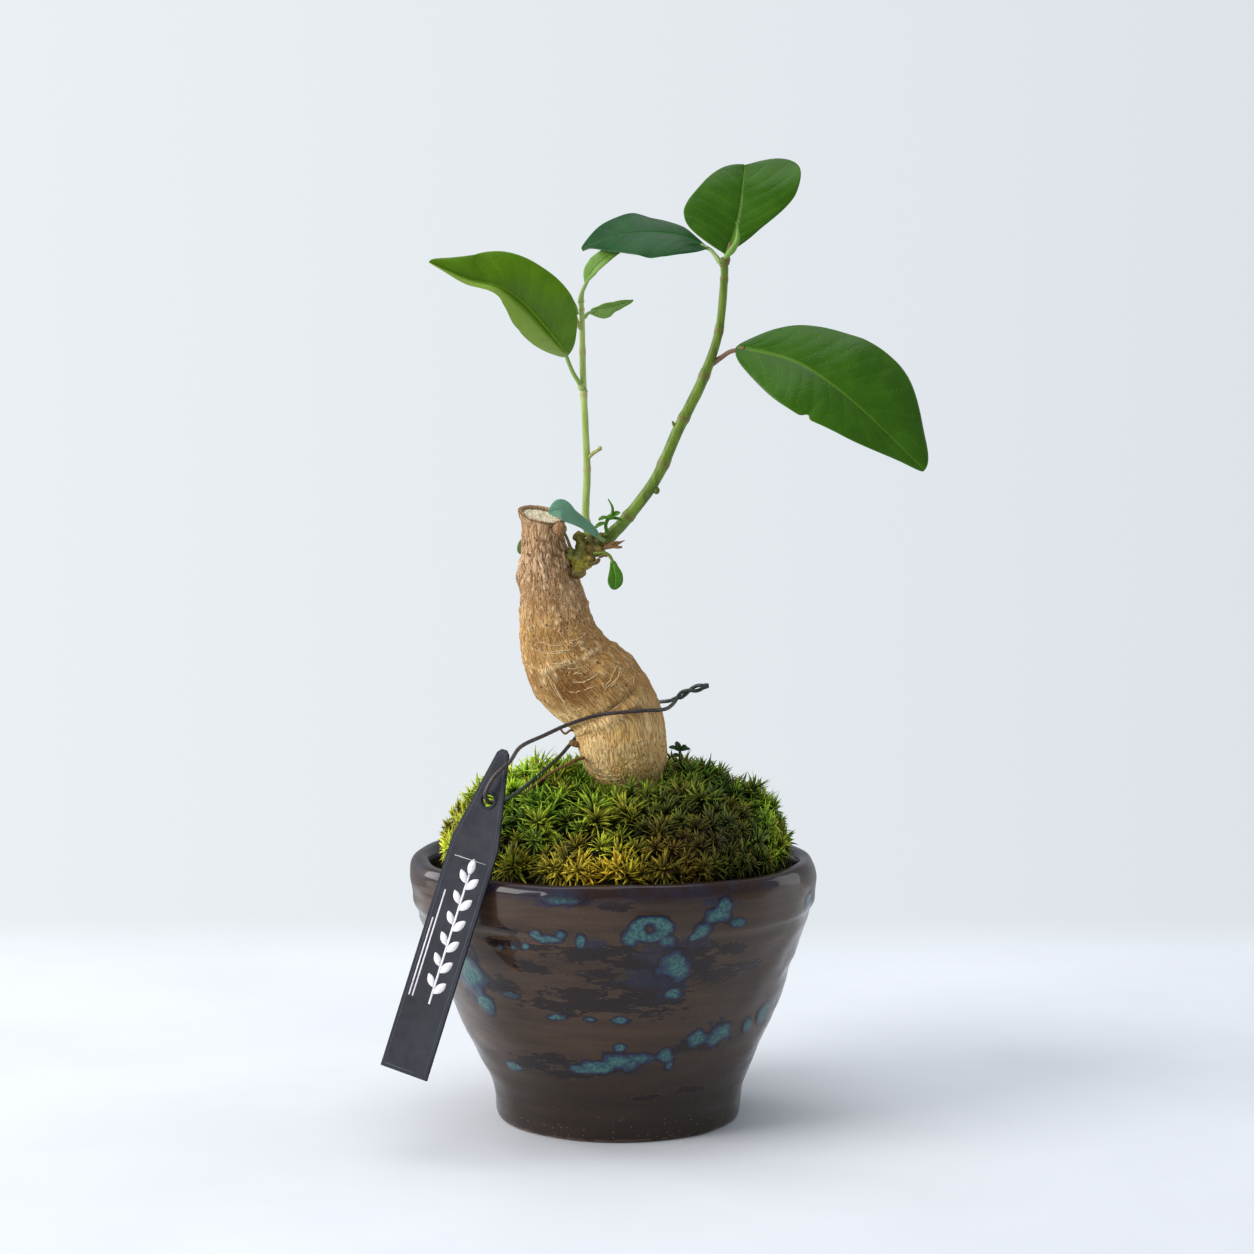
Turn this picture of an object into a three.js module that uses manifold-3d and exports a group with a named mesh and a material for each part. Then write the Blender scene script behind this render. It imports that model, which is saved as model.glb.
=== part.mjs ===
// A small grafted ficus bonsai in a glazed ceramic pot: pot, soil, moss, swollen root-trunk,
// grafted stems, leaves, and a plastic plant label tied on with a coated wire.
// Millimetres, +Z up. Everything is laid out round the pot's axis, which stands at X = Y = 0
// with the foot at Z = 0. At the end the group moves so that the origin is the middle of the
// base of the whole plant's box.
import * as THREE from 'three';
import Module from 'manifold-3d';
import { mergeVertices } from 'three/addons/utils/BufferGeometryUtils.js';

const wasm = await Module();
wasm.setup();

// ---------------------------------------------------------------- driving dimensions
const GAP = 0.3;                 // clearance between pieces that touch
const RIM_Z = 55.3;              // height of the pot
const RIM_R = 42.3;              // outer radius of the rim
const POT_SEGMENTS = 36;
const DRAIN_R = 6;               // drain hole in the pot's floor
const FLOOR_Z = 7.6;             // inner face of the pot's floor
const NET_SIZE = 23;             // square plastic net over the drain hole
const NET_THICKNESS = 1.0;
const NET_BARS = 4;              // bars each way
const NET_BAR_WIDTH = 1.8;
const SOIL_EDGE_Z = 50.3;        // soil surface at the wall
const SOIL_CROWN = 7.7;          // how far the soil rises at the middle
const SOIL_FLOOR_Z = 9.3;        // underside of the soil, on the drain net
const SOIL_R = 37.3;
const MOSS_R = 38.2;             // where the moss meets the rim
const MOSS_FOOT_R = 36.8;        // where the moss meets the soil at the wall
const MOSS_RISE = 17.5;          // height of the moss dome above the rim
const MOSS_SHAPE = 38.5;         // radius at which the dome would reach rim height
const COLLAR_R = 7.4;            // hollow in the moss round the foot of the trunk
const COLLAR_Z = 66.5;
const COLLAR_SLOPE = 1.45;
const COLLAR_AXIS_X = 2.3;
const FRONT_DIP = 4;             // how far the moss sinks in front of the trunk
const FRONT_DIP_WIDTH = 10;
const FRONT_DIP_REACH = 9;       // distance over which the dip sets in
const PAD_MIN_THICKNESS = 1.5;
const BLADE_THICKNESS = 0.7;
const BLADE_EDGE = 0.25;         // smallest half-width at a leaf's ends
const STALK_TAPER = 0.3;         // share of its radius that a leaf's stalk loses
const WIRE_R = 0.4;
const TAG_WIDTH = 10.6;
const TAG_LENGTH = 67;
const TAG_TAPER = 19.5;
const TAG_TIP_HALF = 1.3;
const TAG_THICKNESS = 0.6;
const TAG_HOLE_R = 1.35;
const TAG_HOLE_FROM_TIP = 10.6;

const COLOURS = {
  glaze: [0x4b3a32, 0.25],
  net: [0x20221f, 0.7],
  soil: [0x3a2a1d, 0.95],
  moss: [0x6f8a1e, 0.95],
  bark: [0xb98d5e, 0.8],
  callus: [0x6d6a1c, 0.7],
  stem: [0x7d9b3a, 0.5],
  leaf: [0x35700f, 0.35],
  pale_leaf: [0x7fa860, 0.5],
  bloom_leaf: [0x5f967a, 0.6],
  dry: [0x6a4a2c, 0.85],
  label: [0x3e4250, 0.45],
  wire: [0x2c2622, 0.4],
};

// ---------------------------------------------------------------- helpers
function curveThrough(points) {
  const places = points.map(([x, y, z]) => new THREE.Vector3(x, y, z));
  return new THREE.CatmullRomCurve3(places, false, 'catmullrom', 0.5);
}

// Smooth value at t (0 to 1) of a list of evenly spaced numbers.
function blend(values, t) {
  return curveThrough(values.map((value) => [value, 0, 0])).getPoint(t).x;
}

// A closed three.js geometry as a manifold solid, faces turned outwards.
function solid(geometry) {
  const plain = geometry.clone();
  plain.deleteAttribute('normal');
  plain.deleteAttribute('uv');
  const merged = mergeVertices(plain, 1e-4);
  const position = merged.attributes.position.array;
  const index = merged.index.array;
  const corner = (i) => new THREE.Vector3().fromArray(position, 3 * i);
  const triangles = [];
  let volume = 0;
  for (let i = 0; i < index.length; i += 3) {
    const [a, b, c] = [index[i], index[i + 1], index[i + 2]];
    if (a === b || b === c || c === a) continue;
    triangles.push([a, b, c]);
    volume += corner(a).dot(corner(b).cross(corner(c)));
  }
  const turned = volume < 0 ? triangles.map(([a, b, c]) => [a, c, b]) : triangles;
  return new wasm.Manifold(new wasm.Mesh({
    numProp: 3,
    vertProperties: new Float32Array(position),
    triVerts: new Uint32Array(turned.flat()),
  }));
}

function joined(solids) {
  return solids.reduce((all, next) => all.add(next));
}

// A tube along a smooth curve whose radius follows its own list. The frame is kept level
// with the reference direction, and bulge(u, angle) shapes the section.
function sweep(points, radii, { sides = 8, steps = 8, reference = [0, 1, 0], bulge = () => 1 } = {}) {
  const path = curveThrough(points);
  const level = new THREE.Vector3(...reference);
  const geometry = new THREE.CylinderGeometry(1, 1, 1, sides, steps);
  const position = geometry.attributes.position;
  for (let i = 0; i < position.count; i += 1) {
    const u = position.getY(i) + 0.5;
    const tangent = path.getTangent(u);
    const side = new THREE.Vector3().crossVectors(tangent, level).normalize();
    const front = new THREE.Vector3().crossVectors(side, tangent);
    const [x, z] = [position.getX(i), position.getZ(i)];
    const radius = blend(radii, u) * bulge(u, Math.atan2(z, x));
    const place = path.getPoint(u).addScaledVector(side, x * radius).addScaledVector(front, z * radius);
    position.setXYZ(i, place.x, place.y, place.z);
  }
  return solid(geometry);
}

function ellipsoid([x, y, z], [rx, ry, rz], grow = 0) {
  const geometry = new THREE.SphereGeometry(1, 10, 6);
  geometry.scale(rx + grow, ry + grow, rz + grow);
  geometry.translate(x, y, z);
  return solid(geometry);
}

const group = new THREE.Group();

function addPart(name, [colour, roughness], shape) {
  const mesh = shape.getMesh();
  const geometry = new THREE.BufferGeometry();
  geometry.setAttribute('position', new THREE.BufferAttribute(Float32Array.from(mesh.vertProperties), 3));
  geometry.setIndex(new THREE.BufferAttribute(Uint32Array.from(mesh.triVerts), 1));
  geometry.computeVertexNormals();
  const material = new THREE.MeshStandardMaterial({ color: colour, roughness, metalness: 0 });
  const part = new THREE.Mesh(geometry, material);
  part.name = name;
  group.add(part);
}

// ---------------------------------------------------------------- pot, net and soil
// Closed profile from the drain hole outwards: foot ring, flaring side, banded rim, inside.
function potSolid() {
  const profile = [
    [DRAIN_R, 3], [20.5, 3], [21.5, 0], [25.4, 0], [26.4, 1.4], [26, 4.8], [27.2, 8.7],
    [30, 15.3], [33.1, 21.8], [36.2, 31], [39.4, 38.9], [41, 44], [42, 45.2],
    [RIM_R, 48.5], [RIM_R, 53.5], [41.6, 55], [40.3, RIM_Z], [38.7, 55], [38, 53.6],
    [37.6, 48], [36.4, 42], [33.5, 33], [29.5, 22], [26, 14], [22.5, 9], [19, FLOOR_Z],
    [DRAIN_R, FLOOR_Z], [DRAIN_R, 3],
  ];
  const lathe = new THREE.LatheGeometry(profile.map(([r, z]) => new THREE.Vector2(r, z)), POT_SEGMENTS);
  lathe.rotateX(Math.PI / 2);
  return solid(lathe);
}

// The net is two layers of bars that cross and are welded into one grid.
function netSolid() {
  const bars = [];
  for (let i = 0; i < NET_BARS; i += 1) {
    const place = (NET_SIZE - NET_BAR_WIDTH) * (i / (NET_BARS - 1) - 0.5);
    const lengthwise = new THREE.BoxGeometry(NET_SIZE, NET_BAR_WIDTH, NET_THICKNESS);
    lengthwise.translate(0, place, FLOOR_Z + GAP + NET_THICKNESS / 2);
    const crosswise = new THREE.BoxGeometry(NET_BAR_WIDTH, NET_SIZE, NET_THICKNESS);
    crosswise.translate(place, 0, FLOOR_Z + GAP + NET_THICKNESS / 2);
    bars.push(solid(lengthwise), solid(crosswise));
  }
  return joined(bars);
}

function soilTop(r) {
  return SOIL_EDGE_Z + SOIL_CROWN * (1 - (r / SOIL_R) ** 2);
}

function soilSolid() {
  const profile = [
    [0, SOIL_FLOOR_Z], [22.1, SOIL_FLOOR_Z], [25.6, 14.3], [29.1, 22.2], [33.1, 33.2], [36, 42.1],
    [37.2, 48],
    ...[SOIL_R, 28, 18, 8].map((r) => [r, soilTop(r)]), [0, soilTop(0)],
  ];
  const lathe = new THREE.LatheGeometry(profile.map(([r, z]) => new THREE.Vector2(r, z)), POT_SEGMENTS);
  lathe.rotateX(Math.PI / 2);
  return solid(lathe).subtract(trunkSolid(GAP));
}

// ---------------------------------------------------------------- trunk and its roots
// The swollen root-trunk from its sawn top down through the bend to the tap root.
const TRUNK = [
  // x, z, radius
  [-15.6, 131, 4.8], [-15.4, 123.3, 4.6], [-14.6, 117.1, 5.4], [-13.6, 110.8, 6.4],
  [-12.8, 104.5, 7.5], [-11.7, 99.8, 8.5], [-8.4, 94, 9.6], [-3.2, 89.3, 9.8],
  [0.6, 84.2, 9.5], [1.5, 78.5, 9.4], [2.3, 73.6, 8.4], [2.8, 69.6, 6.4],
  [2.4, 65.5, 5.8], [2, 60, 6.2], [2, 53, 6.0], [2.2, 45, 3.0],
];
const SAW_POINT = [-15.5, 0, 126.4];
const SAW_NORMAL = [0.2, -0.27, 0.94];
const ROOT_COUNT = 5;
const ROOT_PATH = [[3, 51.5], [8, 50], [15, 43.5], [21, 34]];      // distance out, height
const ROOT_RADII = [3.2, 2.6, 1.9, 1.0];

function trunkBulge(u, angle) {
  return 1 + 0.02 * Math.sin(3 * angle + 9 * u) + 0.015 * Math.sin(5 * angle - 14 * u);
}

function trunkSolid(grow = 0) {
  const body = sweep(
    TRUNK.map(([x, z]) => [x, 0, z]),
    TRUNK.map(([, , r]) => r + grow),
    { sides: 14, steps: 30, bulge: trunkBulge },
  );
  const saw = new THREE.BoxGeometry(30, 30, 20);
  saw.translate(0, 0, 10);
  const up = new THREE.Vector3(...SAW_NORMAL).normalize();
  saw.applyQuaternion(new THREE.Quaternion().setFromUnitVectors(new THREE.Vector3(0, 0, 1), up));
  saw.translate(...SAW_POINT);
  saw.translate(up.x * grow, up.y * grow, up.z * grow);
  const roots = Array.from({ length: ROOT_COUNT }, (_, i) => {
    const angle = 0.5 + (2 * Math.PI * i) / ROOT_COUNT;
    return sweep(
      ROOT_PATH.map(([out, z]) => [2 + out * Math.cos(angle), out * Math.sin(angle), z]),
      ROOT_RADII.map((r) => r + grow),
      { sides: 7, steps: 5, reference: [0, 0, 1] },
    );
  });
  return joined([body.subtract(solid(saw)), ...roots]);
}

// ---------------------------------------------------------------- moss cushions
const MOSS_PADS = [
  'moss_left', 'moss_front_left', 'moss_front', 'moss_front_right',
  'moss_right', 'moss_back_right', 'moss_back_left',
];
const PAD_GAP_ANGLE = 0.028;
const PAD_EDGE_DROP = 2.2;

function mossTop(x, y) {
  const r = Math.min(Math.hypot(x, y) / MOSS_SHAPE, 1);
  const dome = RIM_Z + MOSS_RISE * (1 - r ** 3.2) ** 0.6;
  const collar = COLLAR_Z + COLLAR_SLOPE * (Math.hypot(x - COLLAR_AXIS_X, y) - COLLAR_R);
  const middle = Math.exp(-(((x - COLLAR_AXIS_X) / FRONT_DIP_WIDTH) ** 2));
  const valley = FRONT_DIP * middle * THREE.MathUtils.smoothstep(-y, 0, FRONT_DIP_REACH) * (1 - r ** 6);
  return Math.min(dome - valley, collar);
}

function mossPad(number) {
  const span = (2 * Math.PI) / MOSS_PADS.length;
  const middle = Math.PI + span * number;
  const pad = new THREE.BoxGeometry(1, 1, 1, 7, 6, 1);
  const position = pad.attributes.position;
  for (let i = 0; i < position.count; i += 1) {
    const across = 2 * position.getX(i);
    const out = position.getY(i) + 0.5;
    const upper = position.getZ(i) > 0;
    const angle = middle + across * (span / 2 - PAD_GAP_ANGLE);
    const outer = upper ? MOSS_R : MOSS_FOOT_R;
    const x = (1 - out) * (COLLAR_AXIS_X + COLLAR_R * Math.cos(angle)) + out * outer * Math.cos(angle);
    const y = (1 - out) * COLLAR_R * Math.sin(angle) + out * outer * Math.sin(angle);
    const lump = 0.5 * Math.sin(5 * across + 7 * out + number) - PAD_EDGE_DROP * across ** 4;
    const floor = soilTop(Math.hypot(x, y)) + GAP;
    position.setXYZ(i, x, y, upper ? Math.max(mossTop(x, y) + lump, floor + PAD_MIN_THICKNESS) : floor);
  }
  return solid(pad);
}

// ---------------------------------------------------------------- graft and stems
// The lumpy union where the scion was grafted to the shoulder of the root-trunk.
const UNION_LUMPS = [
  [[-7.2, -1, 117.3], [2.6, 3, 2.4]],
  [[-4.4, -0.5, 119.6], [2.2, 2.4, 1.8]],
  [[-2.4, 0, 120.9], [1.7, 1.8, 1.5]],
  [[-6.9, -0.5, 120], [1.6, 2, 1.6]],
  [[-7.7, -1.2, 121.9], [1.1, 1.1, 1.1]],
];
const STEM_RIGHT = [
  [-2.1, 0, 121.2], [1.9, -0.5, 125.4], [8.1, -1, 133.7], [13.3, -1, 145.1],
  [17.4, -0.8, 153.3], [21.1, -0.3, 163.6], [22.3, 0, 174.9], [22.3, 0, 178.6],
];
const STEM_RIGHT_R = [1.4, 1.25, 1.2, 1.15, 1.1, 0.9, 0.8, 0.8];
const STEM_LEFT = [
  [-5.6, 0.5, 121.9], [-6.3, 0.8, 126.5], [-6, 1, 135], [-6.3, 1.2, 144],
  [-6.8, 1.2, 154.4], [-7, 1, 166.7], [-7.2, 0.8, 170.6],
];
const STEM_LEFT_R = [1.0, 0.8, 0.75, 0.72, 0.68, 0.58, 0.55];
const STUB = [[-6, 1, 138], [-5, 0.7, 139], [-3.5, 0.5, 140]];

function unionSolid(grow = 0) {
  return joined(UNION_LUMPS.map(([centre, radii]) => ellipsoid(centre, radii, grow)));
}

function stemRightSolid(grow = 0) {
  return sweep(STEM_RIGHT, STEM_RIGHT_R.map((r) => r + grow), { sides: 8, steps: 14 });
}

function stemLeftSolid(grow = 0) {
  const stub = sweep(STUB, [0.45 + grow, 0.4 + grow, 0.35 + grow], { sides: 6, steps: 2 });
  return sweep(STEM_LEFT, STEM_LEFT_R.map((r) => r + grow), { sides: 8, steps: 12 }).add(stub);
}

// ---------------------------------------------------------------- leaves
// rib: the midrib from stalk to tip. face: the way the upper side looks, at base and tip.
// left, right: half-widths along the leaf. fold: how far each half lifts towards the face
// in degrees, at base and tip. cup: extra lift from rib to edge. lean: sweep of each half
// towards the tip. stalk: the petiole, which runs into the blade.
const LEAVES = {
  leaf_right: {
    rib: [[24.9, -1, 161.2], [35.6, -5, 158.6], [43, -8, 154.3], [51, -10, 147.6], [62.8, -11, 136.1]],
    face: [[0.15, -0.85, 0.5], [0.35, -0.9, 0.25]],
    left: [3.8, 9.1, 12.8, 13, 5.6], right: [4.8, 9.5, 10.1, 7.2, 2.2],
    fold: [[8, 8], [4, 4]], cup: [-14, -10], lean: [0, 0],
    stalk: [[19.6, -0.3, 157.6], [21.9, -0.4, 159.1], [23.6, -0.7, 160.2], [26.5, -1.6, 160.9]],
    stalkR: 0.55, grid: [10, 6], colour: 'leaf',
  },
  leaf_left: {
    rib: [
      [-9.9, -1, 159.4], [-14, -3.5, 164.7], [-18.5, -6, 169.8], [-23.5, -8, 173.4], [-30, -9.5, 175],
      [-37.8, -10.5, 178.3],
    ],
    face: [[-0.1, -0.95, 0.1], [-0.3, -0.9, 0.35]],
    left: [3, 7.2, 9.6, 6.5, 2.6], right: [3.9, 8.1, 7.9, 6, 2.3],
    fold: [[48, 62], [5, 5]], cup: [10, -12], lean: [0, 0],
    stalk: [[-6.8, 0.9, 152.6], [-7.6, 0.3, 153.8], [-9.1, -0.4, 156.4], [-10.6, -1.4, 160.3]],
    stalkR: 0.5, grid: [10, 6], colour: 'leaf',
  },
  leaf_top_right: {
    rib: [[22.6, 0, 180.2], [24.3, 1.5, 184.3], [25.5, 3, 189], [26.2, 5, 194], [26.8, 8, 198.8]],
    face: [[0, -1, 0.15], [0, -0.75, 0.65]],
    left: [9, 11.2, 10.6, 7.8, 4.3], right: [1.4, 4.7, 10.9, 11.5, 7.5],
    fold: [[6, 6], [10, 10]], cup: [-8, -6], lean: [0.1, 0.45],
    stalk: [[22.9, 0, 179.1], [23, 0.1, 180.2], [23.6, 0.9, 182.4]],
    stalkR: 0.55, grid: [9, 6], colour: 'leaf',
  },
  leaf_top_left: {
    rib: [[19, 1, 181.5], [13, 3.5, 184], [6.5, 6, 184.7], [0, 8.5, 184], [-7.2, 11, 181.6]],
    face: [[0, -0.55, 0.83], [0, -0.5, 0.86]],
    left: [3.2, 6.7, 7.4, 5, 1.2], right: [0.8, 2.5, 4.8, 7.5, 3.5],
    fold: [[-6, -6], [18, 14]], cup: [-10, -10], lean: [0, 0],
    stalk: [[21.2, 0.4, 178.9], [20.3, 0.7, 180.2], [19.4, 1, 181.2], [17.6, 1.8, 182.2]],
    stalkR: 0.45, grid: [9, 6], colour: 'leaf',
  },
  leaf_small_back: {
    rib: [[-6.3, 3, 174.2], [-4.9, 4.5, 176.6], [-2.8, 6.5, 178.9], [0.4, 9, 181.2], [4, 12, 182.6]],
    face: [[-0.3, -0.9, 0.3], [-0.3, -0.8, 0.6]],
    left: [0.8, 1.9, 2.4, 1.9, 1.2], right: [0.5, 1.1, 1.3, 1, 0.4],
    fold: [[10, 10], [10, 10]], cup: [0, 0], lean: [0, 0],
    stalk: [[-7.2, 0.9, 171.2], [-6.9, 1.6, 172.6], [-6.1, 3.2, 174.4], [-5.4, 4, 175.8]],
    stalkR: 0.45, grid: [7, 4], colour: 'pale_leaf',
  },
  leaf_small_right: {
    rib: [[-5.4, 4, 168.2], [-2.6, 6, 169], [0.2, 8, 169.6], [3.6, 10, 170.9]],
    face: [[0, -0.8, 0.6], [0, -0.8, 0.6]],
    left: [0.7, 1, 1.3, 1.1, 0.4], right: [2.6, 2.8, 1.6, 0.9, 0.5],
    fold: [[10, 10], [10, 10]], cup: [0, 0], lean: [0, 0.2],
    stalk: [[-6.4, 1.6, 167.4], [-5.6, 3.2, 168.2], [-4, 5, 168.6]],
    stalkR: 0.35, grid: [6, 4], colour: 'pale_leaf',
  },
  leaf_low_front: {
    rib: [[-3.6, -6, 122.1], [-6, -7, 124.6], [-8.8, -8, 126.6], [-11.2, -8.5, 127.9], [-13.8, -9, 127.5]],
    face: [[0.1, -0.75, 0.65], [0, -0.75, 0.65]],
    left: [0.7, 1.7, 2.4, 2.8, 1.6], right: [0.9, 1.1, 1.5, 2.5, 1.2],
    fold: [[20, 10], [20, 10]], cup: [0, 0], lean: [0, 0],
    stalk: [[-2.6, -1.6, 121.3], [-3, -4.2, 121.7], [-3.9, -6.2, 122.6]],
    stalkR: 0.45, grid: [7, 4], colour: 'bloom_leaf',
  },
  leaf_hanging: {
    rib: [
      [-0.9, -3, 117.2], [-0.5, -3.6, 115.8], [-0.2, -4, 114.2], [-0.2, -4.2, 112.7], [-0.4, -4.3, 111.2],
    ],
    face: [[0, -1, 0], [0, -1, 0.1]],
    left: [0.7, 1, 1.6, 1.6, 0.8], right: [0.4, 0.8, 1.4, 1.5, 0.9],
    fold: [[6, 6], [6, 6]], cup: [0, 0], lean: [0, 0],
    stalk: [
      [-4.4, -2, 118.6], [-2.9, -2.9, 118.9], [-1.6, -3.1, 118.4], [-0.9, -3.1, 117.5],
      [-0.7, -3.3, 116.5],
    ],
    stalkR: 0.4, grid: [6, 4], colour: 'leaf',
  },
  leaf_back_low: {
    rib: [[-17.2, 6.2, 122.6], [-18.8, 7.6, 121.2], [-19.9, 8.4, 119.4], [-20, 9, 117.6]],
    face: [[-0.5, 0.3, 0.8], [-0.8, 0.2, 0.5]],
    left: [0.9, 1.4, 1.6, 1.3, 0.7], right: [0.9, 1.4, 1.6, 1.3, 0.7],
    fold: [[10, 10], [10, 10]], cup: [0, 0], lean: [0, 0],
    stalk: [[-16, 5, 123], [-16.6, 5.8, 122.8], [-17.8, 6.8, 122.1]],
    stalkR: 0.35, grid: [6, 4], colour: 'pale_leaf',
  },
};

// Point of a leaf: u from stalk to tip, v from -1 (left edge) over the rib to 1 (right edge).
function leafPoint(leaf, rib, u, v, lift) {
  const tangent = rib.getTangent(u);
  const face = new THREE.Vector3(...leaf.face[0]).lerp(new THREE.Vector3(...leaf.face[1]), u);
  const normal = face.addScaledVector(tangent, -face.dot(tangent)).normalize();
  const across = new THREE.Vector3().crossVectors(tangent, normal);
  const side = v >= 0 ? 1 : 0;
  const along = Math.acos(1 - 2 * u) / Math.PI;
  const width = Math.max(blend([0, ...(side ? leaf.right : leaf.left), 0], along), BLADE_EDGE);
  const [foldBase, foldTip] = leaf.fold[side];
  const degrees = foldBase + (foldTip - foldBase) * u + leaf.cup[side] * (Math.abs(v) - 0.5);
  const angle = THREE.MathUtils.degToRad(degrees);
  const reach = width * Math.abs(v);
  const out = side ? reach : -reach;
  return rib.getPoint(u)
    .addScaledVector(across, out * Math.cos(angle))
    .addScaledVector(normal, reach * Math.sin(angle) + lift)
    .addScaledVector(tangent, leaf.lean[side] * reach * Math.abs(v));
}

function leafSolid(leaf) {
  const rib = curveThrough(leaf.rib);
  const blade = new THREE.BoxGeometry(1, 1, 1, leaf.grid[0], leaf.grid[1], 1);
  const position = blade.attributes.position;
  for (let i = 0; i < position.count; i += 1) {
    const u = (1 - Math.cos(Math.PI * (position.getX(i) + 0.5))) / 2;
    const v = 2 * position.getY(i);
    const place = leafPoint(leaf, rib, u, v, position.getZ(i) * BLADE_THICKNESS);
    position.setXYZ(i, place.x, place.y, place.z);
  }
  const stalkRadii = leaf.stalk.map((_, i) => leaf.stalkR * (1 - (STALK_TAPER * i) / leaf.stalk.length));
  return solid(blade).add(sweep(leaf.stalk, stalkRadii, { sides: 6, steps: 4 }));
}

// ---------------------------------------------------------------- buds, scales and weeds
const SPEAR_BUD = [[22.3, -1.6, 179.3], [24, -2, 181.2], [24.9, -2.3, 183.2], [25, -2.6, 185.6]];
const SPEAR_BUD_R = [0.4, 0.7, 0.5, 0.2];
const STIPULE = [[-7.9, 0.4, 167.9], [-8.3, -0.2, 169.4], [-9, -0.6, 171.2]];
const STIPULE_R = [0.3, 0.3, 0.12];

const SHOOT_STALK = [[-1.8, -1.9, 122.9], [-2.1, -2.6, 124.4], [-1.6, -3, 126]];
const SHOOT_HOOK = [[-0.8, -3.4, 126.4], [-0.7, -3.8, 128.2], [-1.6, -4, 130]];
const SCALE_LONG = [[-2.3, -2.4, 119.9], [-0.6, -3.2, 120.3], [1.8, -3.8, 121.4]];
const SCALE_SHORT = [[-1, -3.1, 120.2], [0.2, -3.5, 120], [1.3, -3.8, 120]];
const WEED_STALK = [[13.6, 4, 73.4], [13.4, 4, 75], [13.4, 4, 76.7]];
const WEED_LEAFLETS = [
  // centre, radii
  [[12.2, 3.8, 77], [1.1, 0.7, 0.5]],
  [[14.3, 4, 77], [0.9, 0.6, 0.5]],
  [[13.3, 4.8, 77.3], [0.6, 0.9, 0.4]],
];
const SPRIG = { sides: 6, steps: 4 };

function youngShootSolid() {
  const stalk = sweep(SHOOT_STALK, [0.35, 0.35, 0.4], SPRIG);
  const curl = ellipsoid([-1.1, -3.1, 126.3], [1.5, 0.9, 0.8]);
  const hook = sweep(SHOOT_HOOK, [0.35, 0.28, 0.15], SPRIG);
  return joined([stalk, curl, hook]);
}

function dryScaleSolid() {
  const long = sweep(SCALE_LONG, [0.45, 0.35, 0.15], SPRIG);
  const short = sweep(SCALE_SHORT, [0.3, 0.3, 0.25], SPRIG);
  return long.add(short);
}

function weedSproutSolid() {
  const stalk = sweep(WEED_STALK, [0.3, 0.25, 0.25], SPRIG);
  return joined([stalk, ...WEED_LEAFLETS.map(([centre, radii]) => ellipsoid(centre, radii))]);
}

const STRAW = [
  [-6.8, -3.4, 76], [-8.2, -7.4, 76.2], [-10.4, -11.8, 75.6], [-13.8, -15.4, 74.3], [-18.5, -19.8, 71.1],
];
const STRAW_R = [0.35, 0.35, 0.32, 0.28, 0.2];

// ---------------------------------------------------------------- label and its tie wire
const TAG_FOOT = new THREE.Vector3(-41.9, -39, 18.1);
const TAG_TIP = new THREE.Vector3(-22.1, -29.4, 81.3);
const TAG_YAW = THREE.MathUtils.degToRad(25);
const WIRE = [
  // free end in the twist, round the front of the trunk, through the label, back behind it
  [18.5, -0.6, 90.3], [16, -0.5, 89.9], [13.6, -0.8, 88.5], [11.8, -1.6, 87], [9.9, -5.1, 86.4],
  [5, -9.2, 86.6], [-3.2, -11.6, 86.1], [-9.5, -15, 84.6], [-14.5, -20.4, 83], [-18.9, -26.6, 81.6],
  [-21, -31.4, 79.2], [-24, -32.2, 76.4], [-25.8, -32.3, 73], [-25.4, -31.3, 71.4], [-24.6, -29.8, 70.8],
  [-22.9, -26.5, 70.5], [-20.3, -22, 71.3], [-17.4, -17, 72.9], [-14.6, -11, 74.6], [-11.6, -4.5, 76.6],
  [-9.4, 2, 78.4], [-6.2, 8.8, 81], [0.5, 11.6, 84], [7.5, 9, 86], [11.4, 3.6, 87.2],
  [13, 1.1, 88.5], [15.2, 0.8, 90], [18, 0.7, 90.8],
];

function tagMatrix() {
  const along = TAG_TIP.clone().sub(TAG_FOOT).normalize();
  const out = new THREE.Vector3(-Math.sin(TAG_YAW), -Math.cos(TAG_YAW), 0);
  out.addScaledVector(along, -out.dot(along)).normalize();
  const across = new THREE.Vector3().crossVectors(along, out);
  return new THREE.Matrix4().makeBasis(across, along, out).setPosition(TAG_FOOT);
}

function tagSolid() {
  const half = TAG_WIDTH / 2;
  const shoulder = TAG_LENGTH - TAG_TAPER;
  const outline = new THREE.Shape();
  outline.moveTo(-half, 0);
  outline.lineTo(half, 0);
  outline.lineTo(half, shoulder);
  outline.lineTo(TAG_TIP_HALF, TAG_LENGTH - 1);
  outline.quadraticCurveTo(0, TAG_LENGTH + 0.6, -TAG_TIP_HALF, TAG_LENGTH - 1);
  outline.lineTo(-half, shoulder);
  outline.closePath();
  const eye = new THREE.Path();
  eye.absarc(0, TAG_LENGTH - TAG_HOLE_FROM_TIP, TAG_HOLE_R, 0, 2 * Math.PI, true);
  outline.holes.push(eye);
  const depth = TAG_THICKNESS;
  const tag = new THREE.ExtrudeGeometry(outline, { depth, bevelEnabled: false, curveSegments: 6 });
  tag.translate(0, 0, -TAG_THICKNESS / 2);
  tag.applyMatrix4(tagMatrix());
  return solid(tag);
}

function wireSolid() {
  const section = new THREE.Shape(Array.from({ length: 8 }, (_, i) => {
    const angle = (Math.PI * i) / 4;
    return new THREE.Vector2(WIRE_R * Math.cos(angle), WIRE_R * Math.sin(angle));
  }));
  const path = curveThrough(WIRE);
  const wire = new THREE.ExtrudeGeometry(section, { steps: 60, bevelEnabled: false, extrudePath: path });
  return solid(wire);
}

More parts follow.
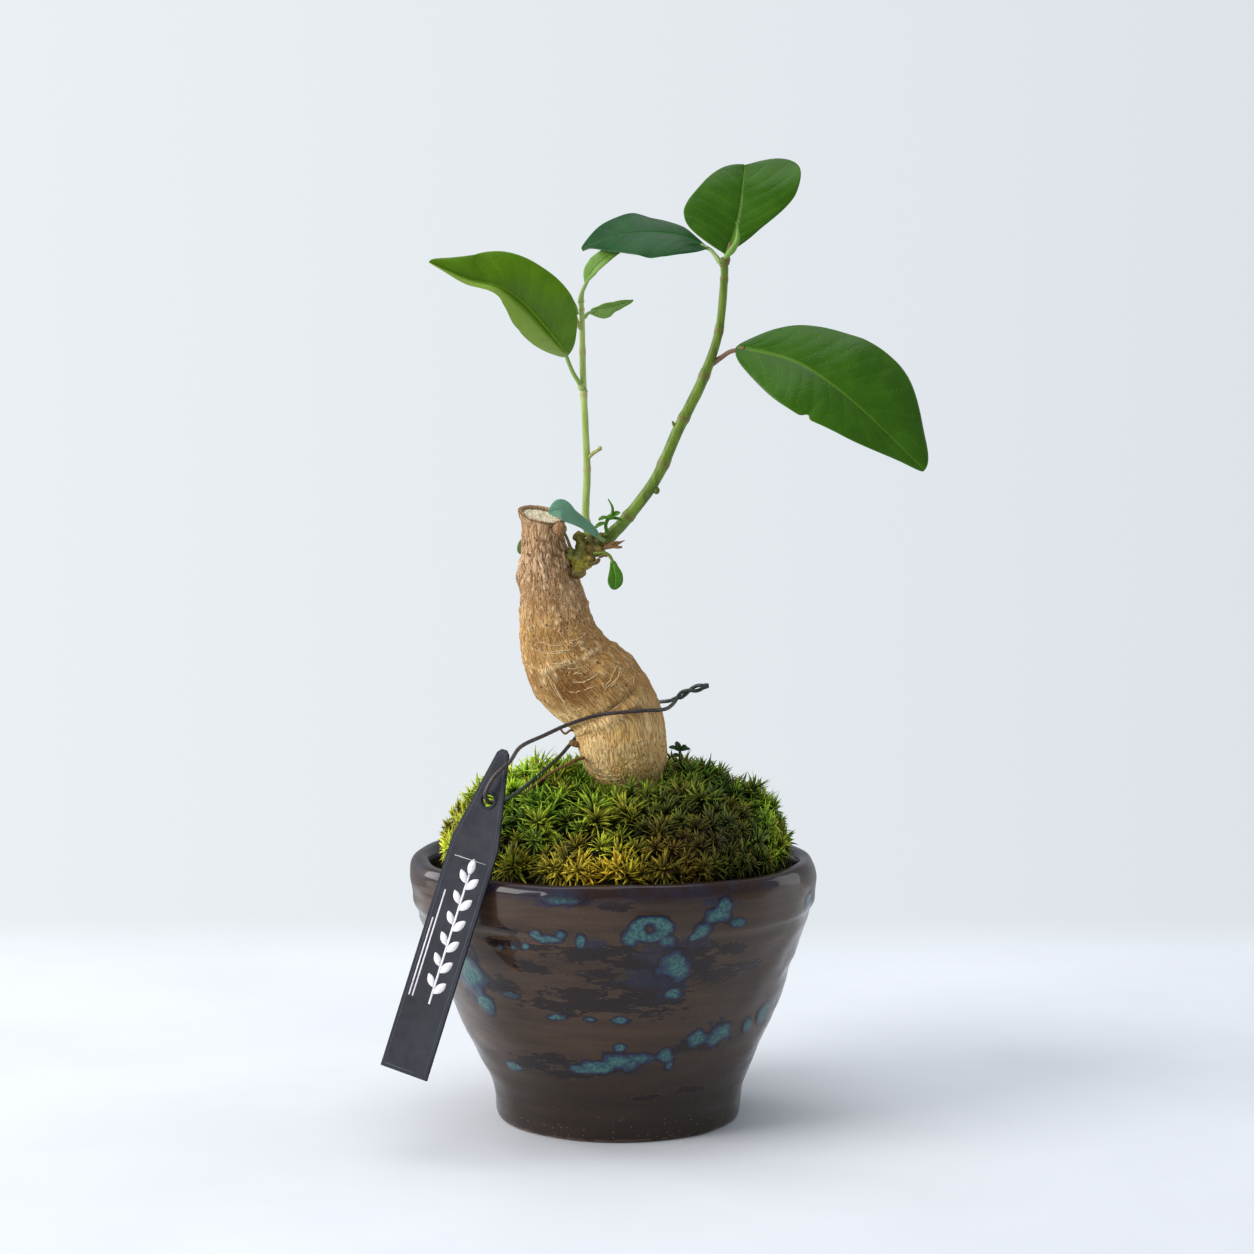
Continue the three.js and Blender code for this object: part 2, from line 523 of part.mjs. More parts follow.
// ---------------------------------------------------------------- assembly
addPart('pot', COLOURS.glaze, potSolid());
addPart('drain_net', COLOURS.net, netSolid());
addPart('soil', COLOURS.soil, soilSolid());
MOSS_PADS.forEach((name, number) => addPart(name, COLOURS.moss, mossPad(number)));
addPart('trunk', COLOURS.bark, trunkSolid());

const trunkRoom = trunkSolid(GAP);
const unionRoom = unionSolid(GAP);
const stemRoom = stemRightSolid(GAP).add(stemLeftSolid(GAP));
addPart('graft_union', COLOURS.callus, unionSolid().subtract(trunkRoom));
addPart('stem_right', COLOURS.stem, stemRightSolid().subtract(unionRoom));
addPart('stem_left', COLOURS.stem, stemLeftSolid().subtract(unionRoom));
const hostRoom = joined([trunkRoom, unionRoom, stemRoom]);
Object.entries(LEAVES).forEach(([name, leaf]) => {
  addPart(name, COLOURS[leaf.colour], leafSolid(leaf).subtract(hostRoom));
});
addPart('spear_bud', COLOURS.pale_leaf, sweep(SPEAR_BUD, SPEAR_BUD_R, { sides: 6, steps: 6 }));
addPart('stipule', COLOURS.pale_leaf, sweep(STIPULE, STIPULE_R, { sides: 6, steps: 3 }).subtract(hostRoom));
addPart('young_shoot', COLOURS.pale_leaf, youngShootSolid().subtract(hostRoom));
addPart('dry_scale', COLOURS.dry, dryScaleSolid().subtract(hostRoom));
addPart('weed_sprout', COLOURS.leaf, weedSproutSolid());
addPart('straw', COLOURS.dry, sweep(STRAW, STRAW_R, { sides: 6, steps: 8 }));
addPart('tag', COLOURS.label, tagSolid());
addPart('tag_wire', COLOURS.wire, wireSolid());

// The origin is the middle of the base of the whole plant's box.
const box = new THREE.Box3().setFromObject(group, true);
group.position.set(-(box.min.x + box.max.x) / 2, -(box.min.y + box.max.y) / 2, -box.min.z);

export default group;
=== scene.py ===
"""Looks of a small grafted ficus bonsai in a glazed ceramic pot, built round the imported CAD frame.

Shapes are worked out in millimetres from the pot's axis, with the pot's foot at height 0.
"""
import math

import bpy
import numpy as np
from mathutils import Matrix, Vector


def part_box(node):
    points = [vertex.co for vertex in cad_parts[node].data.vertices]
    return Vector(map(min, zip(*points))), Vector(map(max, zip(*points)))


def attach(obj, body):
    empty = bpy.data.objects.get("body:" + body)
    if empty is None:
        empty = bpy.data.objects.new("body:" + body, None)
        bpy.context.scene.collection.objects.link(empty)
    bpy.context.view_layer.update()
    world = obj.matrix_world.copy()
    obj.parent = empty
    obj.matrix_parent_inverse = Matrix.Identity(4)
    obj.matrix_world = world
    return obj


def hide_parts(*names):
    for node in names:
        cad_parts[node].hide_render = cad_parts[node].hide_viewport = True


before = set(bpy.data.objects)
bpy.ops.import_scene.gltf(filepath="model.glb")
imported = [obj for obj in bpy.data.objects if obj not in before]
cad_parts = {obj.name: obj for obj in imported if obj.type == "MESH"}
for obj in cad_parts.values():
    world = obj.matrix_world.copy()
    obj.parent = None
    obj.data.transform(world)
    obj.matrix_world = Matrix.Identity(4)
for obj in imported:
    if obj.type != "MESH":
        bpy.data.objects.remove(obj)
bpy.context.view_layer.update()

MM = 0.001
POT_LOW, POT_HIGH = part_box("pot")
AXIS = np.array([(POT_LOW.x + POT_HIGH.x) / 2, (POT_LOW.y + POT_HIGH.y) / 2, POT_LOW.z])
RIM_Z = (POT_HIGH.z - POT_LOW.z) / MM
GOLDEN_ANGLE = math.pi * (3 - math.sqrt(5))
FALLBACK_WEIGHT = 0.25       # of the colour that shows away from all tint spots


# ---------------------------------------------------------------- numbers and curves
def to_frame(points):
    """Millimetres from the pot's axis to metres in the shared frame."""
    return np.asarray(points, float) * MM + AXIS


def unit(vectors):
    vectors = np.asarray(vectors, float)
    return vectors / np.maximum(np.linalg.norm(vectors, axis=-1, keepdims=True), 1e-12)


def smooth_step(value, low, high):
    t = np.clip((value - low) / (high - low), 0, 1)
    return t * t * (3 - 2 * t)


def curve_point(points, t):
    """Smooth curve through evenly timed points (numbers or rows), at each t from 0 to 1."""
    p = np.asarray(points, float)
    if p.ndim == 1:
        return curve_point(p[:, None], t)[:, 0]
    padded = np.concatenate([[2 * p[0] - p[1]], p, [2 * p[-1] - p[-2]]])
    place = np.clip(t, 0, 1) * (len(p) - 1)
    i = np.minimum(place.astype(int), len(p) - 2)
    f = (place - i)[:, None]
    a, b, c, d = padded[i], padded[i + 1], padded[i + 2], padded[i + 3]
    return b + 0.5 * f * (c - a + f * (2 * a - 5 * b + 4 * c - d + f * (3 * (b - c) + d - a)))


def lattice(ix, iy, iz, seed):
    """A fixed pseudo-random number from -1 to 1 for each lattice corner."""
    h = (ix * 73856093) ^ (iy * 19349663) ^ (iz * 83492791) ^ (seed * 26544357)
    h = ((h ^ (h >> 13)) * 127412617) & 0xFFFFFFFF
    h = ((h ^ (h >> 15)) * 97531) & 0xFFFFFFFF
    return ((h >> 8) & 0xFFFF) / 32767.5 - 1


def noise(points, size, seed=0, octaves=1):
    """Smooth noise of about -1 to 1. size is how large its features are, one number or three."""
    total = 0
    for octave in range(octaves):
        q = np.asarray(points, float) / size * 2 ** octave
        corner = np.floor(q).astype(np.int64)
        f = q - corner
        f = f * f * (3 - 2 * f)
        ix, iy, iz = corner.T
        layers = []
        for dz in (0, 1):
            rows = []
            for dy in (0, 1):
                near = lattice(ix, iy + dy, iz + dz, seed + octave)
                far = lattice(ix + 1, iy + dy, iz + dz, seed + octave)
                rows.append(near + (far - near) * f[:, 0])
            layers.append(rows[0] + (rows[1] - rows[0]) * f[:, 1])
        total = total + (layers[0] + (layers[1] - layers[0]) * f[:, 2]) * 0.5 ** octave
    return total


def bump_at(distance, width):
    return np.exp(-((distance / width) ** 2))


def polyline_distance(points, line):
    """How far each point is from a polyline."""
    best = np.full(len(points), np.inf)
    for a, b in zip(np.asarray(line[:-1], float), np.asarray(line[1:], float)):
        along = np.clip((points - a) @ (b - a) / ((b - a) @ (b - a)), 0, 1)
        best = np.minimum(best, np.linalg.norm(points - a - along[:, None] * (b - a), axis=1))
    return best


# ---------------------------------------------------------------- shapes
class Shape:
    """Points in mm, with quads, triangles and named values for each point."""

    def __init__(self, points, quads=(), triangles=(), **values):
        self.points = np.asarray(points, float)
        self.quads = np.asarray(quads, np.int64).reshape(-1, 4)
        self.triangles = np.asarray(triangles, np.int64).reshape(-1, 3)
        self.values = values

    def outward(self):
        """The same shape with its faces turned out."""
        q, t = self.quads, self.triangles
        faces = np.concatenate([t, q[:, [0, 1, 2]], q[:, [0, 2, 3]]])
        a, b, c = (self.points[faces[:, i]] for i in range(3))
        if np.einsum("ij,ij->", a, np.cross(b, c)) < 0:
            self.quads = q[:, ::-1]
            self.triangles = t[:, ::-1]
        return self


def join(shapes):
    """Several shapes as one. A value that a shape doesn't name is 0 there."""
    names = sorted({name for shape in shapes for name in shape.values})
    starts = np.cumsum([0] + [len(shape.points) for shape in shapes])
    values = {}
    for name in names:
        width = next(s.values[name].shape[1:] for s in shapes if name in s.values)
        values[name] = np.concatenate([
            s.values.get(name, np.zeros((len(s.points), *width))) for s in shapes])
    return Shape(
        np.concatenate([s.points for s in shapes]),
        np.concatenate([s.quads + start for s, start in zip(shapes, starts)]),
        np.concatenate([s.triangles + start for s, start in zip(shapes, starts)]),
        **values)


def grid_quads(rows, columns, wrap):
    """Quads between neighbouring rows of points, closed round each row where wrap is set."""
    r = np.arange(rows - 1)[:, None] * columns
    c = np.arange(columns if wrap else columns - 1)[None, :]
    after = (c + 1) % columns
    return np.stack([r + c, r + after, r + columns + after, r + columns + c], -1).reshape(-1, 4)


def fan(ring, centre, flip=False):
    """Triangles from a ring of point numbers to one centre point."""
    after = np.roll(ring, -1)
    order = [after, ring] if flip else [ring, after]
    return np.stack([*order, np.full(len(ring), centre)], -1)


def sweep_frame(points, t, level):
    """Centre, side and front of a section at each t along a curve, kept level."""
    centre = curve_point(points, t)
    tangent = unit(curve_point(points, t + 1e-3) - curve_point(points, t - 1e-3))
    side = unit(np.cross(tangent, level))
    return centre, side, np.cross(side, tangent)


def tube(points, radii, sides=12, rows=40, level=(0, 1, 0), swell=None, **values):
    """A closed tube along a smooth curve. swell(t, angle) scales its section."""
    t = np.linspace(0, 1, rows)
    centre, side, front = sweep_frame(points, t, level)
    angle = np.linspace(0, 2 * math.pi, sides, endpoint=False)
    tt, aa = np.meshgrid(t, angle, indexing="ij")
    radius = curve_point(radii, t)[:, None] * (1 if swell is None else swell(tt, aa))
    ring = (centre[:, None] + side[:, None] * (radius * np.cos(aa))[..., None]
            + front[:, None] * (radius * np.sin(aa))[..., None])
    every = np.concatenate([ring.reshape(-1, 3), centre[:1], centre[-1:]])
    first = np.arange(sides)
    ends = np.concatenate([fan(first, rows * sides, True),
                           fan(first + (rows - 1) * sides, rows * sides + 1)])
    along = np.concatenate([tt.ravel(), [0, 1]])
    spread = {name: np.full(len(every), float(value)) for name, value in values.items()}
    return Shape(every, grid_quads(rows, sides, True), ends, along=along, **spread).outward()


def ball(centre, radii, rings=16, sides=24, **values):
    """An ellipsoid."""
    theta = np.linspace(0, math.pi, rings + 2)[1:-1]
    phi = np.linspace(0, 2 * math.pi, sides, endpoint=False)
    th, ph = np.meshgrid(theta, phi, indexing="ij")
    around = np.stack([np.sin(th) * np.cos(ph), np.sin(th) * np.sin(ph), np.cos(th)], -1)
    every = np.concatenate([around.reshape(-1, 3), [[0, 0, 1], [0, 0, -1]]])
    first = np.arange(sides)
    ends = np.concatenate([fan(first, rings * sides, True),
                           fan(first + (rings - 1) * sides, rings * sides + 1)])
    spread = {name: np.full(len(every), float(value)) for name, value in values.items()}
    return Shape(every * radii + centre, grid_quads(rings, sides, True), ends, **spread).outward()


def make_mesh(name, shape):
    """A smooth-shaded mesh whose named values are attributes that the materials read."""
    mesh = bpy.data.meshes.new(name)
    corners = np.concatenate([shape.quads.ravel(), shape.triangles.ravel()])
    sizes = np.repeat([4, 3], [len(shape.quads), len(shape.triangles)])
    starts = np.cumsum(sizes) - sizes
    mesh.vertices.add(len(shape.points))
    mesh.vertices.foreach_set("co", to_frame(shape.points).ravel().astype(np.float32))
    mesh.loops.add(len(corners))
    mesh.loops.foreach_set("vertex_index", corners.astype(np.int32))
    mesh.polygons.add(len(sizes))
    mesh.polygons.foreach_set("loop_start", starts.astype(np.int32))
    mesh.polygons.foreach_set("use_smooth", np.ones(len(sizes), bool))
    for label, numbers in shape.values.items():
        if numbers.ndim == 2:
            layer = mesh.attributes.new(label, "FLOAT_COLOR", "POINT")
            rgba = np.concatenate([numbers, np.ones((len(numbers), 1))], 1)
            layer.data.foreach_set("color", rgba.ravel().astype(np.float32))
        else:
            layer = mesh.attributes.new(label, "FLOAT", "POINT")
            layer.data.foreach_set("value", numbers.astype(np.float32))
    mesh.update(calc_edges=True)
    return mesh


def read_mesh(mesh):
    """Points, quads and triangles of a Blender mesh."""
    points = np.empty(len(mesh.vertices) * 3)
    mesh.vertices.foreach_get("co", points)
    quads, triangles = (
        np.array([p.vertices[:] for p in mesh.polygons if p.loop_total == corners]).reshape(-1, corners)
        for corners in (4, 3))
    return points.reshape(-1, 3), quads, triangles


def add_object(name, data):
    made = bpy.data.objects.new(name, data)
    bpy.context.scene.collection.objects.link(made)
    return made


def piece(name, shape, material, slot, *nodes):
    """A finished piece that stands for CAD nodes and rides with the body."""
    mesh = shape if isinstance(shape, bpy.types.Mesh) else make_mesh(name, shape)
    made = add_object(name, mesh)
    mesh.materials.append(material)
    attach(made, "root")
    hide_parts(*nodes)
    return made


# ---------------------------------------------------------------- colours and node graphs
def srgb(red, green, blue):
    """A screen colour (0 to 255) as linear numbers."""
    c = np.array([red, green, blue]) / 255
    return tuple(np.where(c <= 0.04045, c / 12.92, ((c + 0.055) / 1.055) ** 2.4))


def tinted(points, tints, fallback):
    """Colour of each point, blended from (place, reach, colour) spots over a fallback."""
    weight = np.full(len(points), FALLBACK_WEIGHT)
    colour = np.outer(weight, fallback)
    for place, reach, tint in tints:
        near = bump_at(np.linalg.norm((points - place) / reach, axis=1), 1)
        weight = weight + near
        colour = colour + near[:, None] * np.array(tint)
    return colour / weight[:, None]


class Graph:
    """A material and short ways to wire its nodes. Patterns sit in the piece's own space."""

    def __init__(self, name):
        self.material = bpy.data.materials.new(name)
        self.material.use_nodes = True
        self.tree = self.material.node_tree
        self.shader = self.tree.nodes["Principled BSDF"]
        self.place = self.add("ShaderNodeTexCoord").outputs["Object"]
        self.height = self.add("ShaderNodeSeparateXYZ", {"Vector": self.place}).outputs["Z"]
        self.unit = MM

    def use_space(self, name):
        """Lays the patterns that follow in a space kept on the mesh in mm."""
        self.place = self.colour(name)
        self.unit = 1.0

    def add(self, kind, inputs=None, **settings):
        node = self.tree.nodes.new(kind)
        for key, value in settings.items():
            setattr(node, key, value)
        for key, value in (inputs or {}).items():
            self.feed(node.inputs[key], value)
        return node

    def feed(self, socket, value):
        if isinstance(value, bpy.types.NodeSocket):
            self.tree.links.new(value, socket)
        elif socket.type == "RGBA" and len(value) == 3:
            socket.default_value = (*value, 1)
        else:
            socket.default_value = value

    def scaled(self, size, shift=0.0):
        """The piece's space divided by a feature size in mm, one number or three."""
        sizes = np.broadcast_to(np.asarray(size, float), 3)
        scale = tuple(1 / (s * self.unit) for s in sizes)
        mapping = self.add("ShaderNodeMapping", {"Vector": self.place, "Scale": scale})
        mapping.inputs["Location"].default_value = (shift, shift * 0.7, shift * 1.3)
        return mapping.outputs["Vector"]

    def noise(self, size, detail=3.0, roughness=0.55, warp=0.0, shift=0.0):
        node = self.add("ShaderNodeTexNoise", {
            "Vector": self.scaled(size, shift), "Scale": 1.0, "Detail": detail,
            "Roughness": roughness, "Distortion": warp})
        return node.outputs["Fac"]

    def cells(self, size):
        """Distance to the nearest of scattered points."""
        node = self.add("ShaderNodeTexVoronoi", {"Vector": self.scaled(size), "Scale": 1.0})
        return node.outputs["Distance"]

    def value(self, name):
        return self.add("ShaderNodeAttribute", attribute_name=name).outputs["Fac"]

    def colour(self, name):
        return self.add("ShaderNodeAttribute", attribute_name=name).outputs["Color"]

    def math(self, operation, a, b=0.0):
        node = self.add("ShaderNodeMath", operation=operation)
        self.feed(node.inputs[0], a)
        self.feed(node.inputs[1], b)
        return node.outputs[0]

    def lines(self, size, width, detail, warp, shift=0.0):
        """1 on thin winding lines, 0 between them."""
        level = self.noise(size, detail, 0.5, warp, shift)
        away = self.math("ABSOLUTE", self.math("SUBTRACT", level, 0.5))
        return self.step(away, 0.0, width, 1, 0)

    def step(self, value, low, high, start=0.0, end=1.0):
        """A smooth rise from start to end as the value goes from low to high."""
        node = self.add("ShaderNodeMapRange", {
            "Value": value, "From Min": low, "From Max": high, "To Min": start, "To Max": end},
            interpolation_type="SMOOTHSTEP")
        return node.outputs["Result"]

    def mix(self, factor, a, b, blend="MIX"):
        node = self.add("ShaderNodeMix", data_type="RGBA", blend_type=blend)
        self.feed(node.inputs[0], factor)
        self.feed(node.inputs[6], a)
        self.feed(node.inputs[7], b)
        return node.outputs[2]

    def over(self, base, colour, mask, share):
        """Lays a colour over the base, by the mask times a share."""
        return self.mix(self.math("MULTIPLY", mask, share), base, colour)

    def bump(self, height, depth, normal=None):
        """Relief whose full height is depth mm."""
        node = self.add("ShaderNodeBump", {"Height": height, "Strength": 1.0, "Distance": depth * MM})
        if normal is not None:
            self.feed(node.inputs["Normal"], normal)
        return node.outputs["Normal"]

    def finish(self, colour, roughness, normal=None, **sockets):
        self.feed(self.shader.inputs["Base Color"], colour)
        self.feed(self.shader.inputs["Roughness"], roughness)
        if normal is not None:
            self.feed(self.shader.inputs["Normal"], normal)
        for key, value in sockets.items():
            self.feed(self.shader.inputs[key.replace("_", " ")], value)
        return self.material


# ---------------------------------------------------------------- materials
def glaze_clay(g):
    """The brown of the glaze: level streaks and clouds, darker towards the foot."""
    streaks = g.noise((26, 26, 3.2), 4, 0.55)
    brush = g.noise((12, 12, 0.5), 3, 0.6, shift=3.1)
    clouds = g.noise((14, 14, 8), 4, 0.6, shift=9.0)
    base = g.mix(g.step(streaks, 0.3, 0.7), srgb(54, 39, 29), srgb(76, 56, 40))
    base = g.mix(g.step(brush, 0.4, 0.75, 0, 0.3), base, srgb(46, 35, 29))
    base = g.mix(g.step(clouds, 0.45, 0.75, 0, 0.5), base, srgb(60, 48, 41))
    return g.mix(g.step(g.height, 26 * MM, 6 * MM, 0, 0.75), base, srgb(36, 26, 21))


def glaze_bloom(g, base, bloom):
    """Blue-green blooms, darker at their edge and outlined."""
    base = g.mix(g.step(bloom, -0.34, -0.12, 0, 0.95), base, srgb(24, 19, 30))
    mottled = g.mix(g.step(g.noise(0.7, 3), 0.35, 0.65), srgb(38, 74, 84), srgb(68, 112, 106))
    mottled = g.mix(g.step(bloom, 0.08, 0.55), srgb(34, 46, 74), mottled)
    return g.mix(g.step(bloom, -0.02, 0.06), base, mottled)


def glaze_lip_and_foot(g, base):
    """Plum and chestnut on the lip, pale specks low down and bare clay under the glaze's end."""
    lip = g.step(g.height, (RIM_Z - 3.4) * MM, (RIM_Z - 1.2) * MM)
    lip_blotch = g.step(g.noise(6, 3, shift=2.0), 0.42, 0.62)
    base = g.over(base, g.mix(lip_blotch, srgb(40, 22, 18), srgb(40, 33, 48)), lip, 0.9)
    specks = g.step(g.cells(1.1), 0.16, 0.05)
    low_specks = g.math("MULTIPLY", specks, g.step(g.height, 9 * MM, 1.0 * MM, 0.16, 0.95))
    base = g.mix(low_specks, base, srgb(150, 116, 88))
    drips = g.step(g.noise(2.2, 4), 0.62, 0.4, -0.6, 0.1)
    bare = g.math("ADD", g.step(g.height, 1.2 * MM, 0.3 * MM), drips)
    return g.mix(g.step(bare, 0.3, 0.6), base, srgb(84, 62, 48))


def glaze_material():
    """Glossy brown glaze with plum and navy patches and outlined blue-green blooms."""
    g = Graph("glaze")
    ragged = g.noise((3.6, 3.6, 0.95), 6, 0.66, 0.5, shift=5.0)
    plum = g.math("ADD", g.value("dark"), g.step(ragged, 0.25, 0.75, -0.75, 0.75))
    base = g.mix(g.step(plum, 0.0, 0.1, 0, 0.95), glaze_clay(g), srgb(29, 18, 20))
    drift = g.step(g.noise((3, 3, 1.2), 3, 0.6, shift=1.0), 0.25, 0.75, -0.4, 0.4)
    soft = g.math("ADD", g.value("navy"), drift)
    base = g.mix(g.step(soft, 0.0, 0.5, 0, 0.85), base, srgb(32, 34, 56))
    torn = g.noise(3.4, 2, 0.5, 0.2, shift=7.0)
    bloom = g.math("ADD", g.value("teal"), g.step(torn, 0.25, 0.75, -0.34, 0.34))
    base = glaze_lip_and_foot(g, glaze_bloom(g, base, bloom))
    edge = g.math("MULTIPLY", g.step(plum, -0.12, -0.03), g.step(plum, 0.08, 0.0))
    base = g.over(base, srgb(98, 74, 54), edge, 0.5)
    pits = g.math("MULTIPLY", g.step(g.cells(1.7), 0.13, 0.05), g.step(ragged, 0.4, 0.6))
    base = g.over(base, srgb(22, 15, 13), pits, 0.8)

    pores = g.step(g.cells(2.4), 0.1, 0.02)
    relief = g.bump(g.noise((14, 14, 1.1), 4, 0.6), 0.1)
    relief = g.bump(g.noise(1.3, 4, 0.6), 0.035, relief)
    relief = g.bump(g.math("MULTIPLY", g.math("ADD", pores, pits), -1.0), 0.25, relief)
    relief = g.bump(g.step(plum, -0.06, 0.06, 1, 0), 0.07, relief)
    relief = g.bump(g.step(bloom, -0.2, 0.06), 0.06, relief)
    rough = g.step(g.noise((8, 8, 2), 4), 0.3, 0.7, 0.3, 0.42)
    return g.finish(base, rough, relief, Coat_Weight=0.5, Coat_Roughness=0.08, Specular_IOR_Level=0.08)


def soil_material():
    """Brown crumbs with dark gaps between them: painted shade in the hollows."""
    g = Graph("soil")
    grain = g.cells(1.6)
    base = g.mix(g.step(g.noise(2.4, 4), 0.35, 0.65), srgb(58, 42, 28), srgb(104, 78, 50))
    # The dark gaps sit low in the relief: painted shade between the crumbs.
    base = g.mix(g.step(grain, 0.05, 0.5, 0.7, 0), base, srgb(28, 20, 14))
    return g.finish(base, 0.95, g.bump(grain, 0.9))


def net_material():
    """Dark matt plastic of the drain net."""
    g = Graph("net_plastic")
    base = g.mix(g.step(g.noise(3, 3), 0.3, 0.7), srgb(26, 28, 26), srgb(44, 46, 42))
    return g.finish(base, g.step(g.noise(0.8, 2), 0.3, 0.7, 0.55, 0.75), g.bump(g.noise(0.5, 3), 0.05))


def moss_material():
    """Yellow-green flecks over the colours that come with the mesh."""
    g = Graph("moss")
    flecks = g.step(g.noise(0.7, 2), 0.3, 0.7, 0, 0.3)
    base = g.mix(flecks, g.colour("tint"), srgb(200, 196, 70), "OVERLAY")
    return g.finish(base, 0.55, g.bump(g.noise(0.3, 2), 0.04), Specular_IOR_Level=0.22)


def bark_tones(g, blotch):
    """Tan in the middle of the trunk, golden below the crease, pinkish near the saw cut."""
    blotchy = g.step(blotch, 0.35, 0.65)
    low = g.step(g.height, 92 * MM, 82 * MM)
    top = g.step(g.height, 102 * MM, 114 * MM)
    base = g.mix(blotchy, srgb(170, 126, 70), srgb(200, 158, 98))
    base = g.mix(low, base, g.mix(blotchy, srgb(226, 180, 108), srgb(250, 214, 150)))
    return low, g.mix(top, base, g.mix(blotchy, srgb(176, 136, 98), srgb(210, 174, 136)))


def bark_marks(g, base):
    """The scar, furrows, pale ridges and algae that come with the mesh; the furrow darkening is partly
    painted shade.
    """
    base = g.over(base, srgb(128, 84, 38), g.value("scar"), 0.8)
    base = g.mix(g.step(g.value("furrow"), 0.15, 1.0, 0, 0.8), base, srgb(104, 66, 34))
    base = g.mix(g.step(g.value("pale"), 0.1, 0.8, 0, 0.75), base, srgb(240, 212, 164))
    streaks = g.step(g.noise((0.5, 0.5, 1.6), 3), 0.4, 0.6, 0.2, 0.8)
    return g.over(base, srgb(150, 142, 62), g.math("MULTIPLY", g.value("algae"), streaks), 0.6)


def sawn_wood(g, base):
    """Cream wood with faint rings inside a brown line, where the trunk was cut."""
    cut = g.value("cut")
    waver = g.step(g.noise(1.6, 3), 0, 1, -3, 3)
    wave = g.math("SINE", g.math("ADD", g.math("MULTIPLY", cut, 34.0), waver))
    wood = g.mix(g.step(wave, 0.2, 1.0, 0, 0.25), srgb(255, 242, 206), srgb(222, 186, 136))
    ring = g.math("MULTIPLY", g.step(cut, 0.12, 0.16), g.step(cut, 0.26, 0.21))
    wood = g.over(wood, srgb(128, 80, 46), ring, 0.85)
    heart = g.step(g.math("ADD", cut, g.step(g.noise(1.1, 3), 0, 1, -0.3, 0.3)), 0.84, 0.92)
    wood = g.over(wood, srgb(120, 76, 46), heart, 0.8)
    return g.mix(g.step(cut, 0.12, 0.16), base, wood)


def bark_material():
    """Tan root bark: pale ridges, dark furrows, brown scar, golden lower part, pale sawn top."""
    g = Graph("bark")
    g.use_space("wrap")
    fine = g.noise((0.3, 0.3, 1.6), 4, 0.6, 0.6)
    blotch = g.noise((5, 5, 7), 4, 0.6, shift=4.0)
    low, base = bark_tones(g, blotch)
    base = g.mix(g.step(fine, 0.46, 0.66, 0, 0.2), base, srgb(150, 104, 54))
    grain = g.lines((0.75, 0.75, 5.5), 0.075, 1.5, 0.35)
    base = g.over(base, srgb(146, 98, 46), grain, 0.6)
    strands = g.lines((1.1, 1.1, 5), 0.03, 2.0, 0.6, 6.0)
    base = g.over(base, srgb(252, 226, 172), strands, g.step(low, 0, 1, 0.25, 0.65))
    base = bark_marks(g, base)
    spots = g.cells((1.7, 1.7, 2.3))
    rough_top = g.step(g.height, 86 * MM, 100 * MM, 0.1, 1.0)
    halo = g.math("MULTIPLY", g.step(spots, 0.3, 0.18), rough_top)
    base = g.over(base, srgb(232, 200, 152), halo, 0.45)
    dots = g.math("MULTIPLY", g.step(spots, 0.16, 0.08), rough_top)
    base = sawn_wood(g, g.over(base, srgb(84, 50, 28), dots, 0.85))
    raised = g.math("SUBTRACT", g.math("ADD", strands, halo), g.math("ADD", grain, dots))
    relief = g.bump(raised, 0.16, g.bump(fine, 0.09))
    return g.finish(base, g.step(blotch, 0.3, 0.7, 0.65, 0.8), relief, Specular_IOR_Level=0.2)


def callus_material():
    """Dark cracks and pores over the colours that come with the mesh."""
    g = Graph("callus")
    fine = g.noise(0.6, 4, 0.65)
    base = g.mix(g.step(fine, 0.5, 0.75, 0, 0.55), g.colour("tint"), srgb(66, 44, 18))
    base = g.mix(g.step(g.cells(0.9), 0.25, 0.05, 0, 0.5), base, srgb(44, 30, 14))
    return g.finish(base, g.step(fine, 0.3, 0.7, 0.4, 0.65), g.bump(fine, 0.18), Specular_IOR_Level=0.4)


def stem_material(name, light, shade, node_tone):
    """Green bark with fine lengthwise ribs, tiny pores and a reddish ring at each node."""
    g = Graph(name)
    ribs = g.noise((0.35, 0.35, 5), 3, 0.6)
    base = g.mix(g.step(g.noise((1.2, 1.2, 6), 3), 0.35, 0.65), light, shade)
    base = g.mix(g.step(ribs, 0.5, 0.75, 0, 0.18), base, node_tone)
    base = g.mix(g.step(g.cells((0.8, 0.8, 1.6)), 0.12, 0.05, 0, 0.2), base, srgb(170, 160, 110))
    base = g.over(base, node_tone, g.value("node"), 0.6)
    return g.finish(base, 0.45, g.bump(ribs, 0.05), Specular_IOR_Level=0.35)


def leaf_material(name, upper, light, vein, under, stalk, gloss, bloom=0.0):
    """Leathery leaf: mottled blade, paler veins, matt underside, stalk of its own tone."""
    g = Graph(name)
    mottle = g.noise(5, 4, 0.55)
    grain = g.noise(0.45, 3, 0.6)
    blade = g.mix(g.step(mottle, 0.35, 0.75, 0, 0.55), upper, light)
    blade = g.mix(g.step(grain, 0.35, 0.7, 0, 0.25), blade, upper)
    blade = g.mix(g.step(g.value("vein"), 0.05, 0.9, 0, 0.11), blade, vein)
    blade = g.mix(g.step(g.value("rib"), 0.2, 0.9, 0, 0.5), blade, vein)
    # Painted reflection: one folded half is tinted paler, standing for the sheen of window light on it.
    blade = g.over(blade, srgb(158, 188, 84), g.value("pale_half"), 0.75)
    blade = g.mix(g.step(g.value("margin"), 0.3, 1.0, 0, 0.5), blade, light)
    lower = g.mix(g.step(g.value("rib"), 0.2, 0.9, 0, 0.6), under, vein)
    base = g.mix(g.step(g.value("upper"), 0.4, 0.6), lower, blade)
    if bloom:
        base = g.mix(bloom, base, srgb(150, 190, 176))
    base = g.mix(g.value("stalk"), base, stalk)
    relief = g.bump(grain, 0.03, g.bump(g.cells(0.55), 0.03))
    rough = g.step(mottle, 0.3, 0.7, gloss, gloss + 0.12)
    return g.finish(base, rough, relief, Specular_IOR_Level=0.24)


